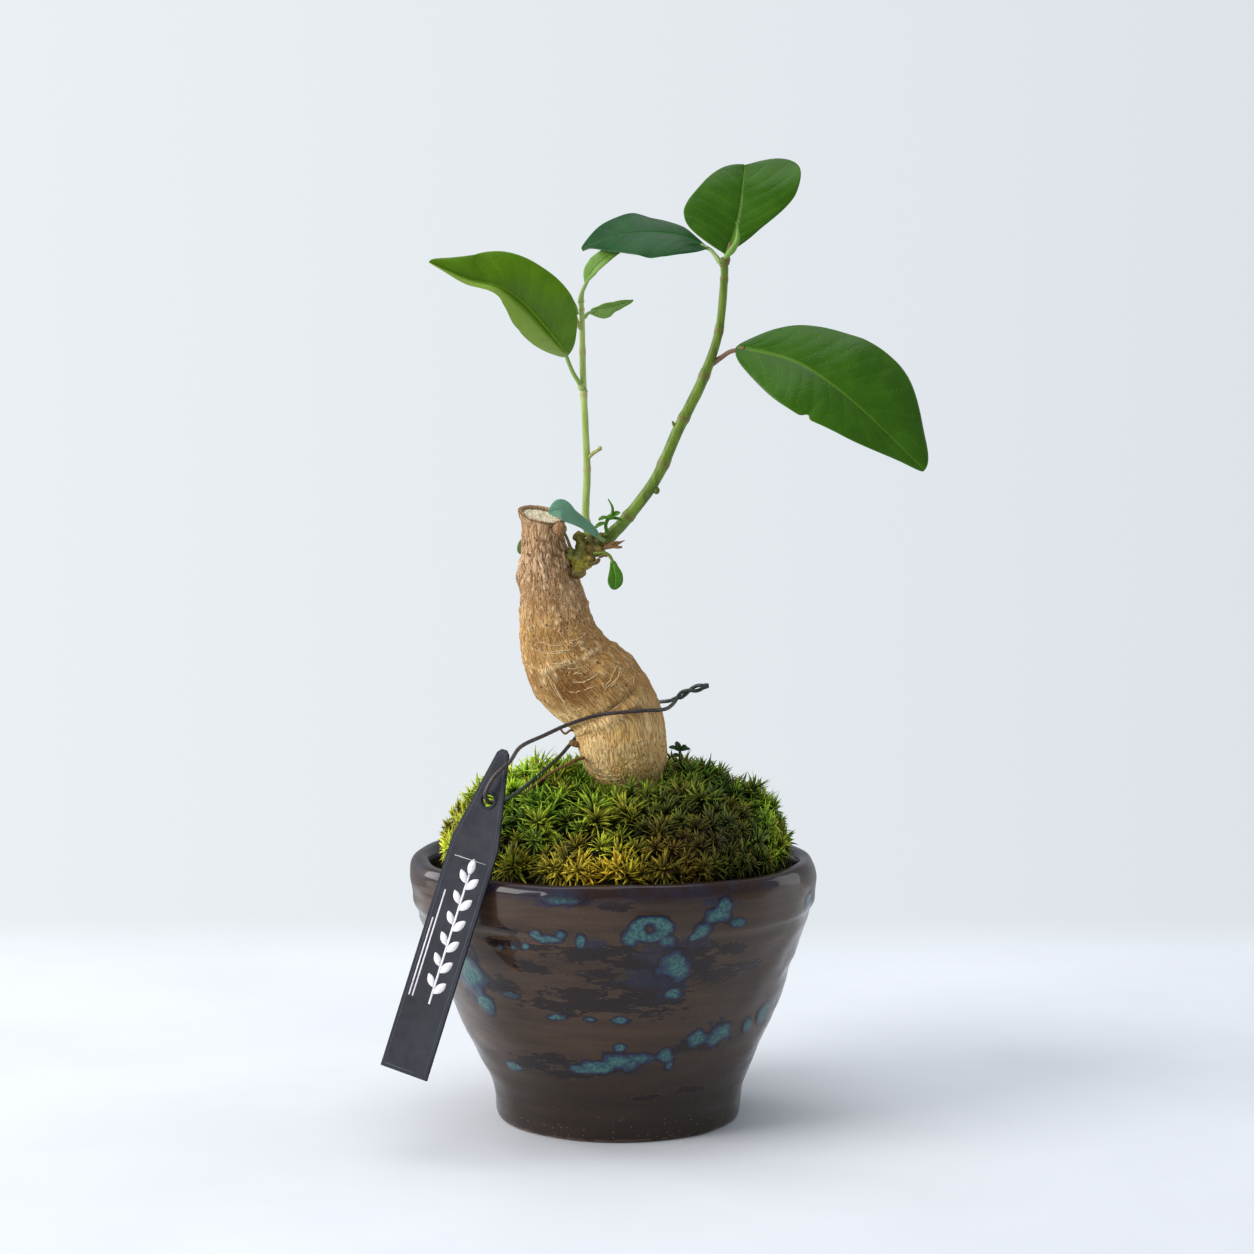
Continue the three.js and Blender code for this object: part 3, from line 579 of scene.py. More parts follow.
def dry_material():
    """Brown, lengthwise fibres of dead scales and straw."""
    g = Graph("dry_plant")
    fibre = g.noise((0.3, 0.3, 2), 4, 0.6)
    base = g.mix(g.step(fibre, 0.35, 0.65), srgb(88, 58, 32), srgb(156, 116, 62))
    return g.finish(base, 0.8, g.bump(fibre, 0.1))


def tag_material():
    """Slate plastic with a fine matt grain and a few light scuffs."""
    g = Graph("tag_plastic")
    grain = g.noise(0.35, 3)
    base = g.mix(g.step(g.noise(9, 3), 0.35, 0.65), srgb(27, 29, 38), srgb(38, 40, 51))
    scuff = g.step(g.noise((1.2, 6, 0.5), 4, 0.7), 0.66, 0.8, 0, 0.35)
    base = g.mix(scuff, base, srgb(80, 83, 94))
    rough = g.step(g.noise(3, 3), 0.3, 0.7, 0.42, 0.58)
    return g.finish(base, rough, g.bump(grain, 0.02), Specular_IOR_Level=0.25)


def ink_material():
    """White print, a little worn; where ink is 0 it is the label's raised grey border."""
    g = Graph("tag_ink")
    worn = g.step(g.noise(0.9, 4, 0.7), 0.3, 0.55)
    white = g.mix(worn, srgb(214, 212, 220), srgb(244, 240, 244))
    base = g.mix(g.value("ink"), srgb(70, 73, 86), white)
    return g.finish(base, 0.6, g.bump(g.noise(0.3, 2), 0.01))


def wire_material():
    """Dark coated wire, brown-black at the front, greenish at the back and the ends."""
    g = Graph("wire_coat")
    base = g.mix(g.value("green"), srgb(56, 44, 40), srgb(30, 52, 46))
    base = g.mix(g.step(g.noise(1.4, 3), 0.45, 0.7, 0, 0.35), base, srgb(96, 90, 86))
    return g.finish(base, 0.38, g.bump(g.noise((0.4, 0.4, 0.4), 3), 0.05))


# ---------------------------------------------------------------- pot
# Outline as (radius, height): under the foot, out along the side, over the lip, down inside.
POT_OUTSIDE = [(21.5, 0), (23.5, 0), (25, 0.2), (25.7, 1.5), (26, 4.4), (26.7, 8), (28.4, 12),
               (30.8, 17), (33.1, 22), (35, 27.5), (36.8, 33), (38.8, 38), (40.4, 42), (41.1, 44.4),
               (42, 46), (42.3, 48.6), (42.4, 51.4), (42.1, 53.6), (41.3, 55), (40.2, 55.3)]
POT_INSIDE = [(40.2, 55.3), (39.1, 55), (38.3, 53.8), (37.8, 51), (37.4, 47), (36, 41), (33.5, 33),
              (29.5, 22), (26, 14), (22.5, 9.2), (19, 7.6), (12, 7.6), (6.6, 7.5), (6, 6.8)]
POT_BENEATH = [(6, 6.8), (6, 3.6), (7, 3), (14, 3), (20.3, 3), (21, 1.4), (21.5, 0)]
OUTSIDE_ROWS, INSIDE_ROWS, BENEATH_ROWS = 130, 56, 12
POT_SIDES = 460

# Blue-green blooms in the glaze as (angle from the front in degrees, height, half-width,
# half-height), and where the plum patches are. The large round bloom at -52 degrees, 35.5 mm
# high, is partly a painted reflection of the window on the pot's left.
TEAL_AND_REFLECTION_MARKS = [
    (-14, 53.2, 4.4, 1.3), (-18, 45.0, 3.4, 0.9), (-21.6, 45.8, 1.4, 0.8), (-14.2, 45.9, 1.2, 1.0),
    (-9, 44.9, 1.1, 1.4), (-25, 43, 1.1, 0.8), (-30, 42.4, 0.8, 0.5), (-34, 42.2, 0.6, 0.5),
    (4.6, 45.6, 1.6, 2.0), (14.6, 44.6, 1.8, 1.6), (18.3, 38.9, 3.3, 2.8),
    (18.6, 33.3, 2.0, 1.3), (24.6, 46.3, 2.2, 1.5), (29.3, 49, 2.7, 1.5), (32, 51, 1.6, 1.6),
    (22.6, 45.2, 1.0, 1.0), (36.3, 47, 1.8, 0.9), (-18.7, 28.1, 2.2, 0.7), (-7.9, 28, 1.7, 0.7),
    (1.2, 27.9, 2.3, 0.8), (-35.4, 32, 2.4, 0.8), (-12.5, 16.5, 3.6, 1.1), (-6, 17.3, 4.2, 1.7),
    (0.8, 18.6, 3.6, 2.3), (8.1, 19.3, 3.4, 1.4), (1.2, 21.6, 1.2, 1.0), (18.2, 19.2, 1.9, 1.6),
    (20, 17, 1.0, 1.0), (29.3, 22.8, 2.6, 1.8), (38.5, 23.2, 3.4, 2.6), (52.6, 23.6, 2.0, 1.8),
    # (-52, 35.5, 5.5, 5.5) below stands partly for a pale blue painted reflection.
    (63.5, 24.7, 3.7, 2.2), (-44.5, 15.1, 2.2, 0.9), (-52, 35.5, 5.5, 5.5), (-48, 28.5, 2.5, 2.0),
    (-88, 15.6, 4.8, 3.1),
]
DARK_MARKS = [
    (-1, 42.8, 5.5, 1.2), (6, 40.4, 4.5, 1.6), (3, 35.6, 6, 1.5), (25, 39, 5, 1.6), (-12, 33.6, 7, 1.3),
    (-26, 18.6, 5, 1.3), (-19, 15, 5, 1.0), (12.5, 32.4, 5, 1.6), (36, 41.5, 4, 1.3), (-30, 46, 4, 0.9),
    (-4.8, 31.4, 10.5, 2.0), (-16, 30.2, 8, 1.4), (14.1, 35.3, 6.5, 6.4), (31, 36.5, 6.5, 1.7),
    (44, 37.5, 4, 1.5), (-7, 42.1, 7.5, 1.8), (-4.5, 37.8, 4.5, 1.4), (-24, 38.5, 4, 1.5),
    (-38, 34, 4.5, 1.8), (27, 21, 4.5, 1.4), (35, 20.6, 4, 1.2), (32.6, 10.7, 2.8, 1.0),
    (10.2, 10, 3.4, 0.7), (-34, 17, 6, 1.4), (0, 51.6, 4, 0.9), (20, 42, 7, 1.6), (-28, 43, 7, 0.9),
]
TEAL_RING = (10.2, 47.0, 4.6, 2.9)
RING_BAND = 0.36             # share of the ring mark's reach that its band takes
NAVY_MARKS = [(13.5, 41.5, 6, 3.4), (11, 37, 7, 2.6), (18, 34, 4.5, 3), (-14, 52.4, 8, 1.6),
              (24, 44, 4, 2), (-6, 44, 3.5, 1.4), (30, 51.4, 5, 1.4)]
HIDDEN_MARKS = 34            # of each kind, on the side away from the camera
HIDDEN_BANDS = [17, 23, 29, 36, 43, 48]   # their heights


def scattered_marks(rng, sizes):
    """Marks like the front's, in loose level bands round the rest of the pot."""
    marks = []
    for _ in range(HIDDEN_MARKS):
        band = rng.choice(HIDDEN_BANDS)
        marks.append((rng.uniform(72, 276), band + rng.normal(0, 1.8),
                      rng.uniform(*sizes), rng.uniform(0.6, 0.42 * sizes[1])))
    return marks


def mark_field(angle, radius, height, marks):
    """1 at a mark's middle, 0 at its edge, down to -1 away from all marks."""
    field = np.full(len(angle), -1.0)
    for degrees, z, half_width, half_height in marks:
        turn = (angle - math.radians(degrees) + math.pi) % (2 * math.pi) - math.pi
        away = np.hypot(turn * radius / half_width, (height - z) / half_height)
        field = np.maximum(field, 1 - away)
    return field


def pot_marks(angle, radius, height, outside):
    """The mark fields of the glaze; the inside of the pot has no marks."""
    kinds = (("teal", TEAL_AND_REFLECTION_MARKS, 21, (1, 5)), ("dark", DARK_MARKS, 22, (3, 9)),
             ("navy", NAVY_MARKS, 23, (3, 7)))
    fields = {}
    for name, marks, seed, sizes in kinds:
        hidden = scattered_marks(np.random.default_rng(seed), sizes)
        fields[name] = mark_field(angle, radius, height, marks + hidden)
    ring = mark_field(angle, radius, height, [TEAL_RING])
    fields["teal"] = np.maximum(fields["teal"], 1 - np.abs(ring - RING_BAND) / RING_BAND)
    return {name: np.where(outside, field, -1) for name, field in fields.items()}


def pot_swell(plain, around, radius, height, outside, teal):
    """Unevenness of the wall in mm: lumps, level throwing lines, thick glaze, a wavy foot."""
    above_foot = smooth_step(height, 0.5, 5) * smooth_step(radius, 22, 26)
    lumps = 0.46 * noise(plain, (16, 16, 9), 1) + 0.24 * noise(plain, (7, 7, 3.2), 2)
    throwing = 0.1 * noise(plain, (60, 60, 3.4), 3) + 0.025 * noise(plain, (20, 20, 0.9), 4)
    swell = lumps * above_foot + throwing * above_foot * outside
    swell = swell + 0.1 * smooth_step(teal, -0.1, 0.25) * outside
    foot_wave = (1 - smooth_step(height, 0, 6)) * outside * 0.25 * noise(around, 0.3, 8)
    return swell + foot_wave


def make_pot():
    stretches = [(POT_OUTSIDE, OUTSIDE_ROWS), (POT_INSIDE, INSIDE_ROWS), (POT_BENEATH, BENEATH_ROWS)]
    profile = np.concatenate([curve_point(line, np.linspace(0, 1, n, endpoint=False))
                              for line, n in stretches])
    rows = len(profile)
    angle = np.tile(np.linspace(-math.pi, math.pi, POT_SIDES, endpoint=False), rows)
    radius, height = np.ascontiguousarray(np.repeat(profile, POT_SIDES, axis=0).T)
    around = np.stack([np.sin(angle), -np.cos(angle), height * 0], -1)   # angle 0 is the front
    plain = around * radius[:, None] + height[:, None] * [0, 0, 1]
    outside = np.arange(rows * POT_SIDES) < OUTSIDE_ROWS * POT_SIDES
    fields = pot_marks(angle, radius, height, outside)
    swell = pot_swell(plain, around, radius, height, outside, fields["teal"])
    points = plain + around * swell[:, None]
    uneven_rim = (0.45 * np.sin(angle + 1.9) + 0.3 * np.sin(2 * angle + 0.6)
                  + 0.35 * noise(around, 0.35, 6))
    points[:, 0] += 0.5 - 1.1 * height / RIM_Z
    points[:, 2] += smooth_step(height, 34, RIM_Z) * uneven_rim
    first = np.arange(POT_SIDES)
    last = first + (rows - 1) * POT_SIDES
    seam = np.stack([last, np.roll(last, -1), np.roll(first, -1), first], -1)
    quads = np.concatenate([grid_quads(rows, POT_SIDES, True), seam])
    piece("glazed_pot", Shape(points, quads, **fields).outward(), glaze_material(), "glaze", "pot")


# ---------------------------------------------------------------- moss
MOSS_PADS = ["moss_left", "moss_front_left", "moss_front", "moss_front_right",
             "moss_right", "moss_back_right", "moss_back_left"]
MOSS_SPAN = 2 * math.pi / len(MOSS_PADS)
MOSS_R = 38.2                         # reach of the rosettes, before they are drawn in
MOSS_SHAPE, MOSS_RISE = 38.5, 16.3    # radius of the dome, and its height above the rim
CROWD_RADIUS, CROWDING = 32.5, 0.52   # past this radius the moss is drawn in by this share
MOUTH_RADIUS = 37.2                   # just inside the pot's lip
COLLAR_X, COLLAR_R, COLLAR_Z = 2.3, 7.4, 66.5   # the gap that the moss leaves for the trunk
COLLAR_SLOPE = 1.45                   # rise of the moss away from the trunk
FRONT_DIP, FRONT_DIP_WIDTH = 4.0, 10  # how far the moss sinks in front of the trunk
SOIL_EDGE_Z, SOIL_CROWN, SOIL_R = 50.3, 7.7, 37.3
CUSHION_DEPTH = 2.8                   # of the cushions' tops below the rosettes
CUSHION_ROWS, CUSHION_COLUMNS = 34, 40
SEED_TRIES = 14000
ROSETTE_SPACING = (2.5, 4.1)          # between neighbours, in the tightest and the loosest places
RIM_ROSETTES = 84                     # in the outermost ring, just inside the pot's lip
ROSETTE_LEAVES, SKIRT_LEAVES = 30, 12
LEAF_SECTIONS = (0.0, 0.35, 0.7)      # of a moss leaf's length; its tip follows
# Painted shade at the foot, deep among the leaves, rising to bright tips that are partly the leaves' own
# paler colour.
LEAF_SHADES = np.array([0.06, 0.06, 0.05, 0.5, 0.5, 0.3, 1.5, 1.5, 1.1, 2.6])   # foot to tip

# Tints of the moss as (x, y, z) place, reach and colour.
MOSS_TINTS = [
    ((-33, -8, 62), (9, 30, 9), srgb(178, 204, 52)), ((-37, 4, 64), (5, 20, 6), srgb(206, 178, 66)),
    ((-25, -2, 72), (9, 20, 6), srgb(150, 190, 44)), ((-14, 0, 74), (9, 22, 5), srgb(126, 176, 44)),
    ((-20, -25, 63), (9, 14, 8), srgb(96, 140, 34)), ((-8, -24, 67), (9, 10, 6), srgb(112, 160, 44)),
    ((0, -26, 67), (8, 10, 6), srgb(176, 188, 52)), ((-6, -36, 58), (12, 8, 4), srgb(196, 160, 48)),
    ((-24, -31, 58), (8, 8, 4), srgb(150, 140, 40)), ((8, -36, 58), (7, 8, 4), srgb(172, 170, 40)),
    ((14, -31, 62), (4.5, 8, 4), srgb(150, 92, 34)), ((14, -36, 58), (6, 6, 4), srgb(146, 112, 38)),
    ((12, -20, 68), (8, 10, 5), srgb(104, 142, 40)), ((22, -24, 65), (9, 12, 7), srgb(74, 108, 30)),
    ((24, -6, 72), (9, 12, 5), srgb(88, 130, 34)), ((34, -10, 64), (6, 22, 8), srgb(134, 178, 44)),
    ((20, 22, 70), (12, 12, 8), srgb(120, 160, 40)), ((-12, 26, 68), (14, 10, 8), srgb(158, 178, 46)),
    ((2, 34, 60), (14, 8, 5), srgb(176, 150, 48)), ((30, 22, 62), (8, 10, 6), srgb(92, 134, 34)),
]
MOSS_PLAIN = srgb(112, 150, 40)


def soil_top(x, y):
    return SOIL_EDGE_Z + SOIL_CROWN * (1 - (np.hypot(x, y) / SOIL_R) ** 2)


def moss_height(x, y):
    """Top of the moss cushions: a dome with hummocks and a hollow round the trunk."""
    flat = np.stack([x, y, x * 0], -1)
    r = np.minimum(np.hypot(x, y) / MOSS_SHAPE, 1)
    dome = RIM_Z + MOSS_RISE * (1 - r ** 3.2) ** 0.6
    collar = COLLAR_Z + COLLAR_SLOPE * (np.hypot(x - COLLAR_X, y) - COLLAR_R)
    hummocks = 2.2 * noise(flat, 13, 31) + 1.3 * noise(flat, 5, 32)
    valley = FRONT_DIP * bump_at(x - COLLAR_X, FRONT_DIP_WIDTH) * smooth_step(-y, 0, 9) * (1 - r ** 6)
    return np.minimum(dome - valley, collar) + hummocks * (1 - r ** 4)


def moss_normal(x, y):
    d = 0.6
    slope_x = (moss_height(x + d, y) - moss_height(x - d, y)) / (2 * d)
    slope_y = (moss_height(x, y + d) - moss_height(x, y - d)) / (2 * d)
    return unit(np.stack([-slope_x, -slope_y, np.ones_like(x)], -1))


def moss_seeds(rng):
    """Evenly spread rosette centres over the dome."""
    near_rim = SEED_TRIES // 3
    r = MOSS_R * np.sqrt(rng.uniform(0, 1, SEED_TRIES)) * 0.995
    r[:near_rim] = rng.uniform(MOSS_R - 5, MOSS_R - 0.2, near_rim)
    a = rng.uniform(0, 2 * math.pi, SEED_TRIES)
    x, y = r * np.cos(a), r * np.sin(a)
    clear = np.hypot(x - COLLAR_X, y) > COLLAR_R - 0.9
    points = np.stack([x, y, moss_height(x, y)], -1)[clear]
    points = points[rng.permutation(len(points))]
    tight, loose = ROSETTE_SPACING
    apart = tight + (loose - tight) * (0.5 + 0.5 * noise(points, 9, 33))
    kept = points[:1]
    for point, room in zip(points, apart):
        if np.min(np.sum((kept - point) ** 2, axis=1)) > room ** 2:
            kept = np.concatenate([kept, [point]])
    a = np.linspace(0, 2 * math.pi, RIM_ROSETTES, endpoint=False) + rng.normal(0, 0.02, RIM_ROSETTES)
    r = rng.uniform(37.0, 38.4, RIM_ROSETTES)
    lip = np.stack([r * np.cos(a), r * np.sin(a), RIM_Z + rng.uniform(1.4, 2.8, RIM_ROSETTES)], -1)
    return np.concatenate([kept, lip])


def crowd_inwards(points):
    """Draws the outermost moss in, so that the inside of the lip shows at the sides."""
    reach = np.maximum(np.hypot(points[..., 0], points[..., 1]), 1)
    drawn_in = np.where(reach > CROWD_RADIUS, CROWD_RADIUS + CROWDING * (reach - CROWD_RADIUS), reach)
    drawn_in = np.where(points[..., 2] < RIM_Z + 0.9, np.minimum(drawn_in, MOUTH_RADIUS), drawn_in)
    scale = drawn_in / reach
    return points * np.stack([scale, scale, np.ones_like(scale)], -1)


def moss_spikes(centres, axes, rng):
    """Points of every narrow leaf of every rosette: curved, keeled and pointed."""
    per = ROSETTE_LEAVES + SKIRT_LEAVES
    count = len(centres) * per
    rank = np.tile(np.arange(per), len(centres))
    skirt = rank >= ROSETTE_LEAVES
    inner = rank / ROSETTE_LEAVES
    centre = np.repeat(centres, per, axis=0)
    axis = np.repeat(axes, per, axis=0)
    own_size = rng.uniform(0.8, 1.5, len(centres)) * (1 + 0.25 * noise(centres, 8, 34))
    size = np.repeat(own_size, per)
    first_turn = np.repeat(rng.uniform(0, 6.3, len(centres)), per)
    turn = rank * GOLDEN_ANGLE + first_turn + rng.normal(0, 0.3, count)
    skirt_lean = rng.uniform(65, 100, count)
    lean = np.where(skirt, skirt_lean, 10 + 62 * inner ** 0.8 + rng.normal(0, 12, count))
    lean = np.radians(lean)
    curl = np.radians(np.where(skirt, 20, rng.uniform(10, 62, count)))
    skirt_length = rng.uniform(2.6, 3.6, count)
    length = np.where(skirt, skirt_length, rng.uniform(2.4, 4.6, count) * (0.7 + 0.35 * inner))
    length = size * length
    half = size * rng.uniform(0.25, 0.41, count)
    side = unit(np.cross(axis, [0.3, 0.9, 0.1]))
    front = np.cross(axis, side)
    radial = side * np.cos(turn)[:, None] + front * np.sin(turn)[:, None]
    across = np.cross(axis, radial)
    start = np.cos(lean)[:, None] * axis + np.sin(lean)[:, None] * radial
    bend = -np.sin(lean)[:, None] * axis + np.cos(lean)[:, None] * radial
    back = unit(-bend - 0.3 * start)
    foot = centre - axis * np.where(skirt, 2.6, 1.3 * inner)[:, None]
    rings = []
    for t in (*LEAF_SECTIONS, 1.0):
        middle = foot + length[:, None] * (t * start + 0.5 * t * t * curl[:, None] * bend)
        width = (half * (1 - t) ** 0.75 * (0.75 + 0.9 * t))[:, None]
        corners = [middle + across * width, middle - across * width, middle + back * width * 0.55]
        rings.append(middle[:, None] if t == 1.0 else np.stack(corners, 1))
    return crowd_inwards(np.concatenate(rings, 1)), centre, skirt


def moss_tints(centres, centre, skirt, rng):
    """A colour for each point of each moss leaf: dark at the foot, bright at the tip, with painted light and
    shade.
    """
    per = ROSETTE_LEAVES + SKIRT_LEAVES
    x, y = centres[:, 0], centres[:, 1]
    own = tinted(centre, MOSS_TINTS, MOSS_PLAIN)
    # Painted light: brighter on the left, towards the window, and again at the right edge; darker and browner
    # at the front right.
    lit_left = 1.25 - 0.45 * smooth_step(x, -25, 15) + 0.3 * smooth_step(x, 24, 36)
    front_right = smooth_step(x, -6, 12) * smooth_step(-y, 6, 24)
    clumps = 0.7 + 0.4 * noise(centres, 7, 35) + 0.16 * noise(centres, 3, 36)
    # patch and shade carry this painted light together with random clumps of tone.
    patch = lit_left * (1 - 0.42 * front_right) * clumps * rng.uniform(0.6, 1.35, len(centres))
    shade = np.repeat(patch, per) * rng.uniform(0.75, 1.3, len(centre))
    warm = np.repeat(rng.uniform(0, 1, len(centres)) ** 3, per)[:, None]
    warm = np.clip(warm + 0.16 * np.repeat(front_right, per)[:, None], 0, 1)
    own = own * (1 - 0.4 * warm) + np.array(srgb(176, 112, 36)) * 0.4 * warm
    own = own * [1.0, 0.98, 0.66]
    # The skirt leaves, lowest under each rosette, are darkened as painted shade.
    own = own * shade[:, None] * np.where(skirt, 0.3, 1.0)[:, None]
    tint = own[:, None] * LEAF_SHADES[None, :, None]
    tint[:, -1] += np.array([0.07, 0.06, 0.01])
    return np.clip(tint, 0, 1).reshape(-1, 3)


def moss_leaves(centres, axes, rng):
    """The leaves of one pad as closed spikes: three rings of three points and a tip."""
    points, centre, skirt = moss_spikes(centres, axes, rng)
    count, each = points.shape[:2]
    edges = ((0, 1), (1, 2), (2, 0))
    quads = [(3 * s + a, 3 * s + b, 3 * s + 3 + b, 3 * s + 3 + a)
             for s in range(len(LEAF_SECTIONS) - 1) for a, b in edges]
    tops = [(each - 4 + a, each - 4 + b, each - 1) for a, b in edges]
    base = (np.arange(count) * each)[:, None, None]
    quads = (np.array(quads)[None] + base).reshape(-1, 4)
    triangles = (np.array(tops + [(2, 1, 0)])[None] + base).reshape(-1, 3)
    tint = moss_tints(centres, centre, skirt, rng)
    return Shape(points.reshape(-1, 3), quads, triangles, tint=tint).outward()


def moss_cushion(number):
    """The dense brown-green body of one pad, below its rosettes, darkened to a deep olive as painted shade
    under them.
    """
    middle = math.pi + MOSS_SPAN * number
    across, out = np.meshgrid(np.linspace(-1, 1, CUSHION_COLUMNS), np.linspace(0, 1, CUSHION_ROWS))
    across, out = across.ravel(), out.ravel()
    angle = middle + across * (MOSS_SPAN / 2 - 0.004)
    inner, outer = COLLAR_R - 0.6, MOSS_R - 1.6
    x = (1 - out) * (COLLAR_X + inner * np.cos(angle)) + out * outer * np.cos(angle)
    y = ((1 - out) * inner + out * outer) * np.sin(angle)
    floor = soil_top(x, y) + 0.1
    top = np.maximum(moss_height(x, y) - CUSHION_DEPTH, floor + 1.0)
    upper = np.stack([x, y, top], -1)
    upper += 0.35 * np.stack([noise(upper, 1.4, 40 + k) for k in range(3)], -1)
    points = crowd_inwards(np.concatenate([upper, np.stack([x, y, floor], -1)]))
    # Very dark olive: painted shade under the rosettes.
    tint = np.tile(np.array(srgb(34, 34, 12)), (len(points), 1))
    return closed_slab(points, CUSHION_ROWS, CUSHION_COLUMNS, tint=tint)


def closed_slab(points, rows, columns, **values):
    """A closed body from an upper grid and a lower grid of the same size."""
    n = rows * columns
    grid = np.arange(n).reshape(rows, columns)
    upper = grid_quads(rows, columns, False)
    edge = np.concatenate([grid[0, :-1], grid[:-1, -1], grid[-1, :0:-1], grid[:0:-1, 0]])
    after = np.roll(edge, -1)
    walls = np.stack([after, edge, edge + n, after + n], -1)
    return Shape(points, np.concatenate([upper, upper[:, ::-1] + n, walls]), **values).outward()


def lay_moss_map(mesh, cushion_quads, leaf_count):
    """A compact UV map: cushion faces on the left, one narrow cell a leaf on the right."""
    sizes = np.empty(len(mesh.polygons), np.int32)
    mesh.polygons.foreach_get("loop_total", sizes)
    layer = mesh.uv_layers.new(name="OFBake")
    uv = np.zeros((len(mesh.loops), 2))
    side = math.ceil(math.sqrt(cushion_quads))
    cell = np.arange(cushion_quads)
    square = np.array([(0.05, 0.05), (0.95, 0.05), (0.95, 0.95), (0.05, 0.95)])
    corner = np.stack([cell % side, cell // side], -1)[:, None] + square
    uv[: 4 * cushion_quads] = (corner * [0.3 / side, 1 / side]).reshape(-1, 2)
    columns = math.ceil(math.sqrt(leaf_count * 0.7))
    rows = math.ceil(leaf_count / columns)
    leaf = np.arange(leaf_count)
    origin = np.stack([leaf % columns, leaf // columns], -1)[:, None]
    bands = [(s / 3, (s + 1) / 3) for s in range(2)]
    quad_pattern = [((k + side) / 3.2, (low, high)[up]) for low, high in bands for k in range(3)
                    for side, up in ((0, 0), (1, 0), (1, 1), (0, 1))]
    tip_pattern = [((k + side) / 3.2, y) for k in range(3)
                   for side, y in ((0, 2 / 3), (1, 2 / 3), (0.5, 0.95))]
    tip_pattern += [(0.95, 0.02), (0.99, 0.02), (0.97, 0.08)]
    cell_size = np.array([0.69 / columns, 1 / rows])
    start = 4 * cushion_quads
    for pattern in (quad_pattern, tip_pattern):
        inside = np.array(pattern) * 0.9 + 0.05
        placed = (origin + inside) * cell_size + [0.31, 0]
        uv[start:start + placed.shape[0] * placed.shape[1]] = placed.reshape(-1, 2)
        start += placed.shape[0] * placed.shape[1]
    layer.data.foreach_set("uv", uv.ravel().astype(np.float32))


def make_moss():
    rng = np.random.default_rng(5)
    centres = moss_seeds(rng)
    axes = unit(moss_normal(centres[:, 0], centres[:, 1]) + [0, 0, 0.35]
                + rng.normal(0, 0.38, centres.shape))
    centres = centres + axes * rng.uniform(-1.3, 1.3, len(centres))[:, None]
    angle = np.arctan2(centres[:, 1], centres[:, 0])
    pad = np.round((angle - math.pi) / MOSS_SPAN).astype(int) % len(MOSS_PADS)
    material = moss_material()
    for number, name in enumerate(MOSS_PADS):
        mine = pad == number
        leaves = moss_leaves(centres[mine], axes[mine], rng)
        cushion = moss_cushion(number)
        mesh = make_mesh(name, join([cushion, leaves]))
        lay_moss_map(mesh, len(cushion.quads), mine.sum() * (ROSETTE_LEAVES + SKIRT_LEAVES))
        piece(name + "_cushion", mesh, material, "moss", name)


# ---------------------------------------------------------------- trunk
TRUNK = np.array([
    # x, z, radius
    [-15.6, 131, 4.8], [-15.4, 123.3, 4.6], [-14.6, 117.1, 5.4], [-13.6, 110.8, 6.4],
    [-12.8, 104.5, 7.5], [-11.7, 99.8, 8.5], [-8.4, 94, 9.6], [-3.2, 89.3, 9.8],
    [0.6, 84.2, 9.5], [1.5, 78.5, 9.4], [2.3, 73.6, 8.4], [2.8, 69.6, 6.4],
    [2.4, 65.5, 5.8], [2, 60, 6.2], [2, 53, 6.0], [2.2, 45, 3.0]])
SAW_POINT = np.array([-15.5, 0, 126.4])
SAW_NORMAL = unit([0.2, -0.27, 0.94])
SAW_RINGS = np.array([0.97, 0.92, 0.87, 0.82, 0.77, 0.7, 0.6, 0.48, 0.35, 0.22, 0.1])
SAW_LIFT = np.array([0.3, 0.42, 0.3, 0.0, -0.2, -0.1, -0.1, -0.1, -0.08, -0.08, -0.06])
TRUNK_SIDES = 250
TRUNK_LENGTH = 118           # along its bends
SHOWN_ROWS, BURIED_ROWS = 322, 22
BURIED_FROM = 0.83           # share of the trunk's path that shows above the moss
BARK_PIMPLES = 300
SIDE_HAIRS = 170
ROOT_COUNT = 5
ROOT_PATH = [[3, 51.5], [8, 50], [15, 43.5], [21, 34]]
ROOT_RADII = [3.2, 2.6, 1.9, 1.0]

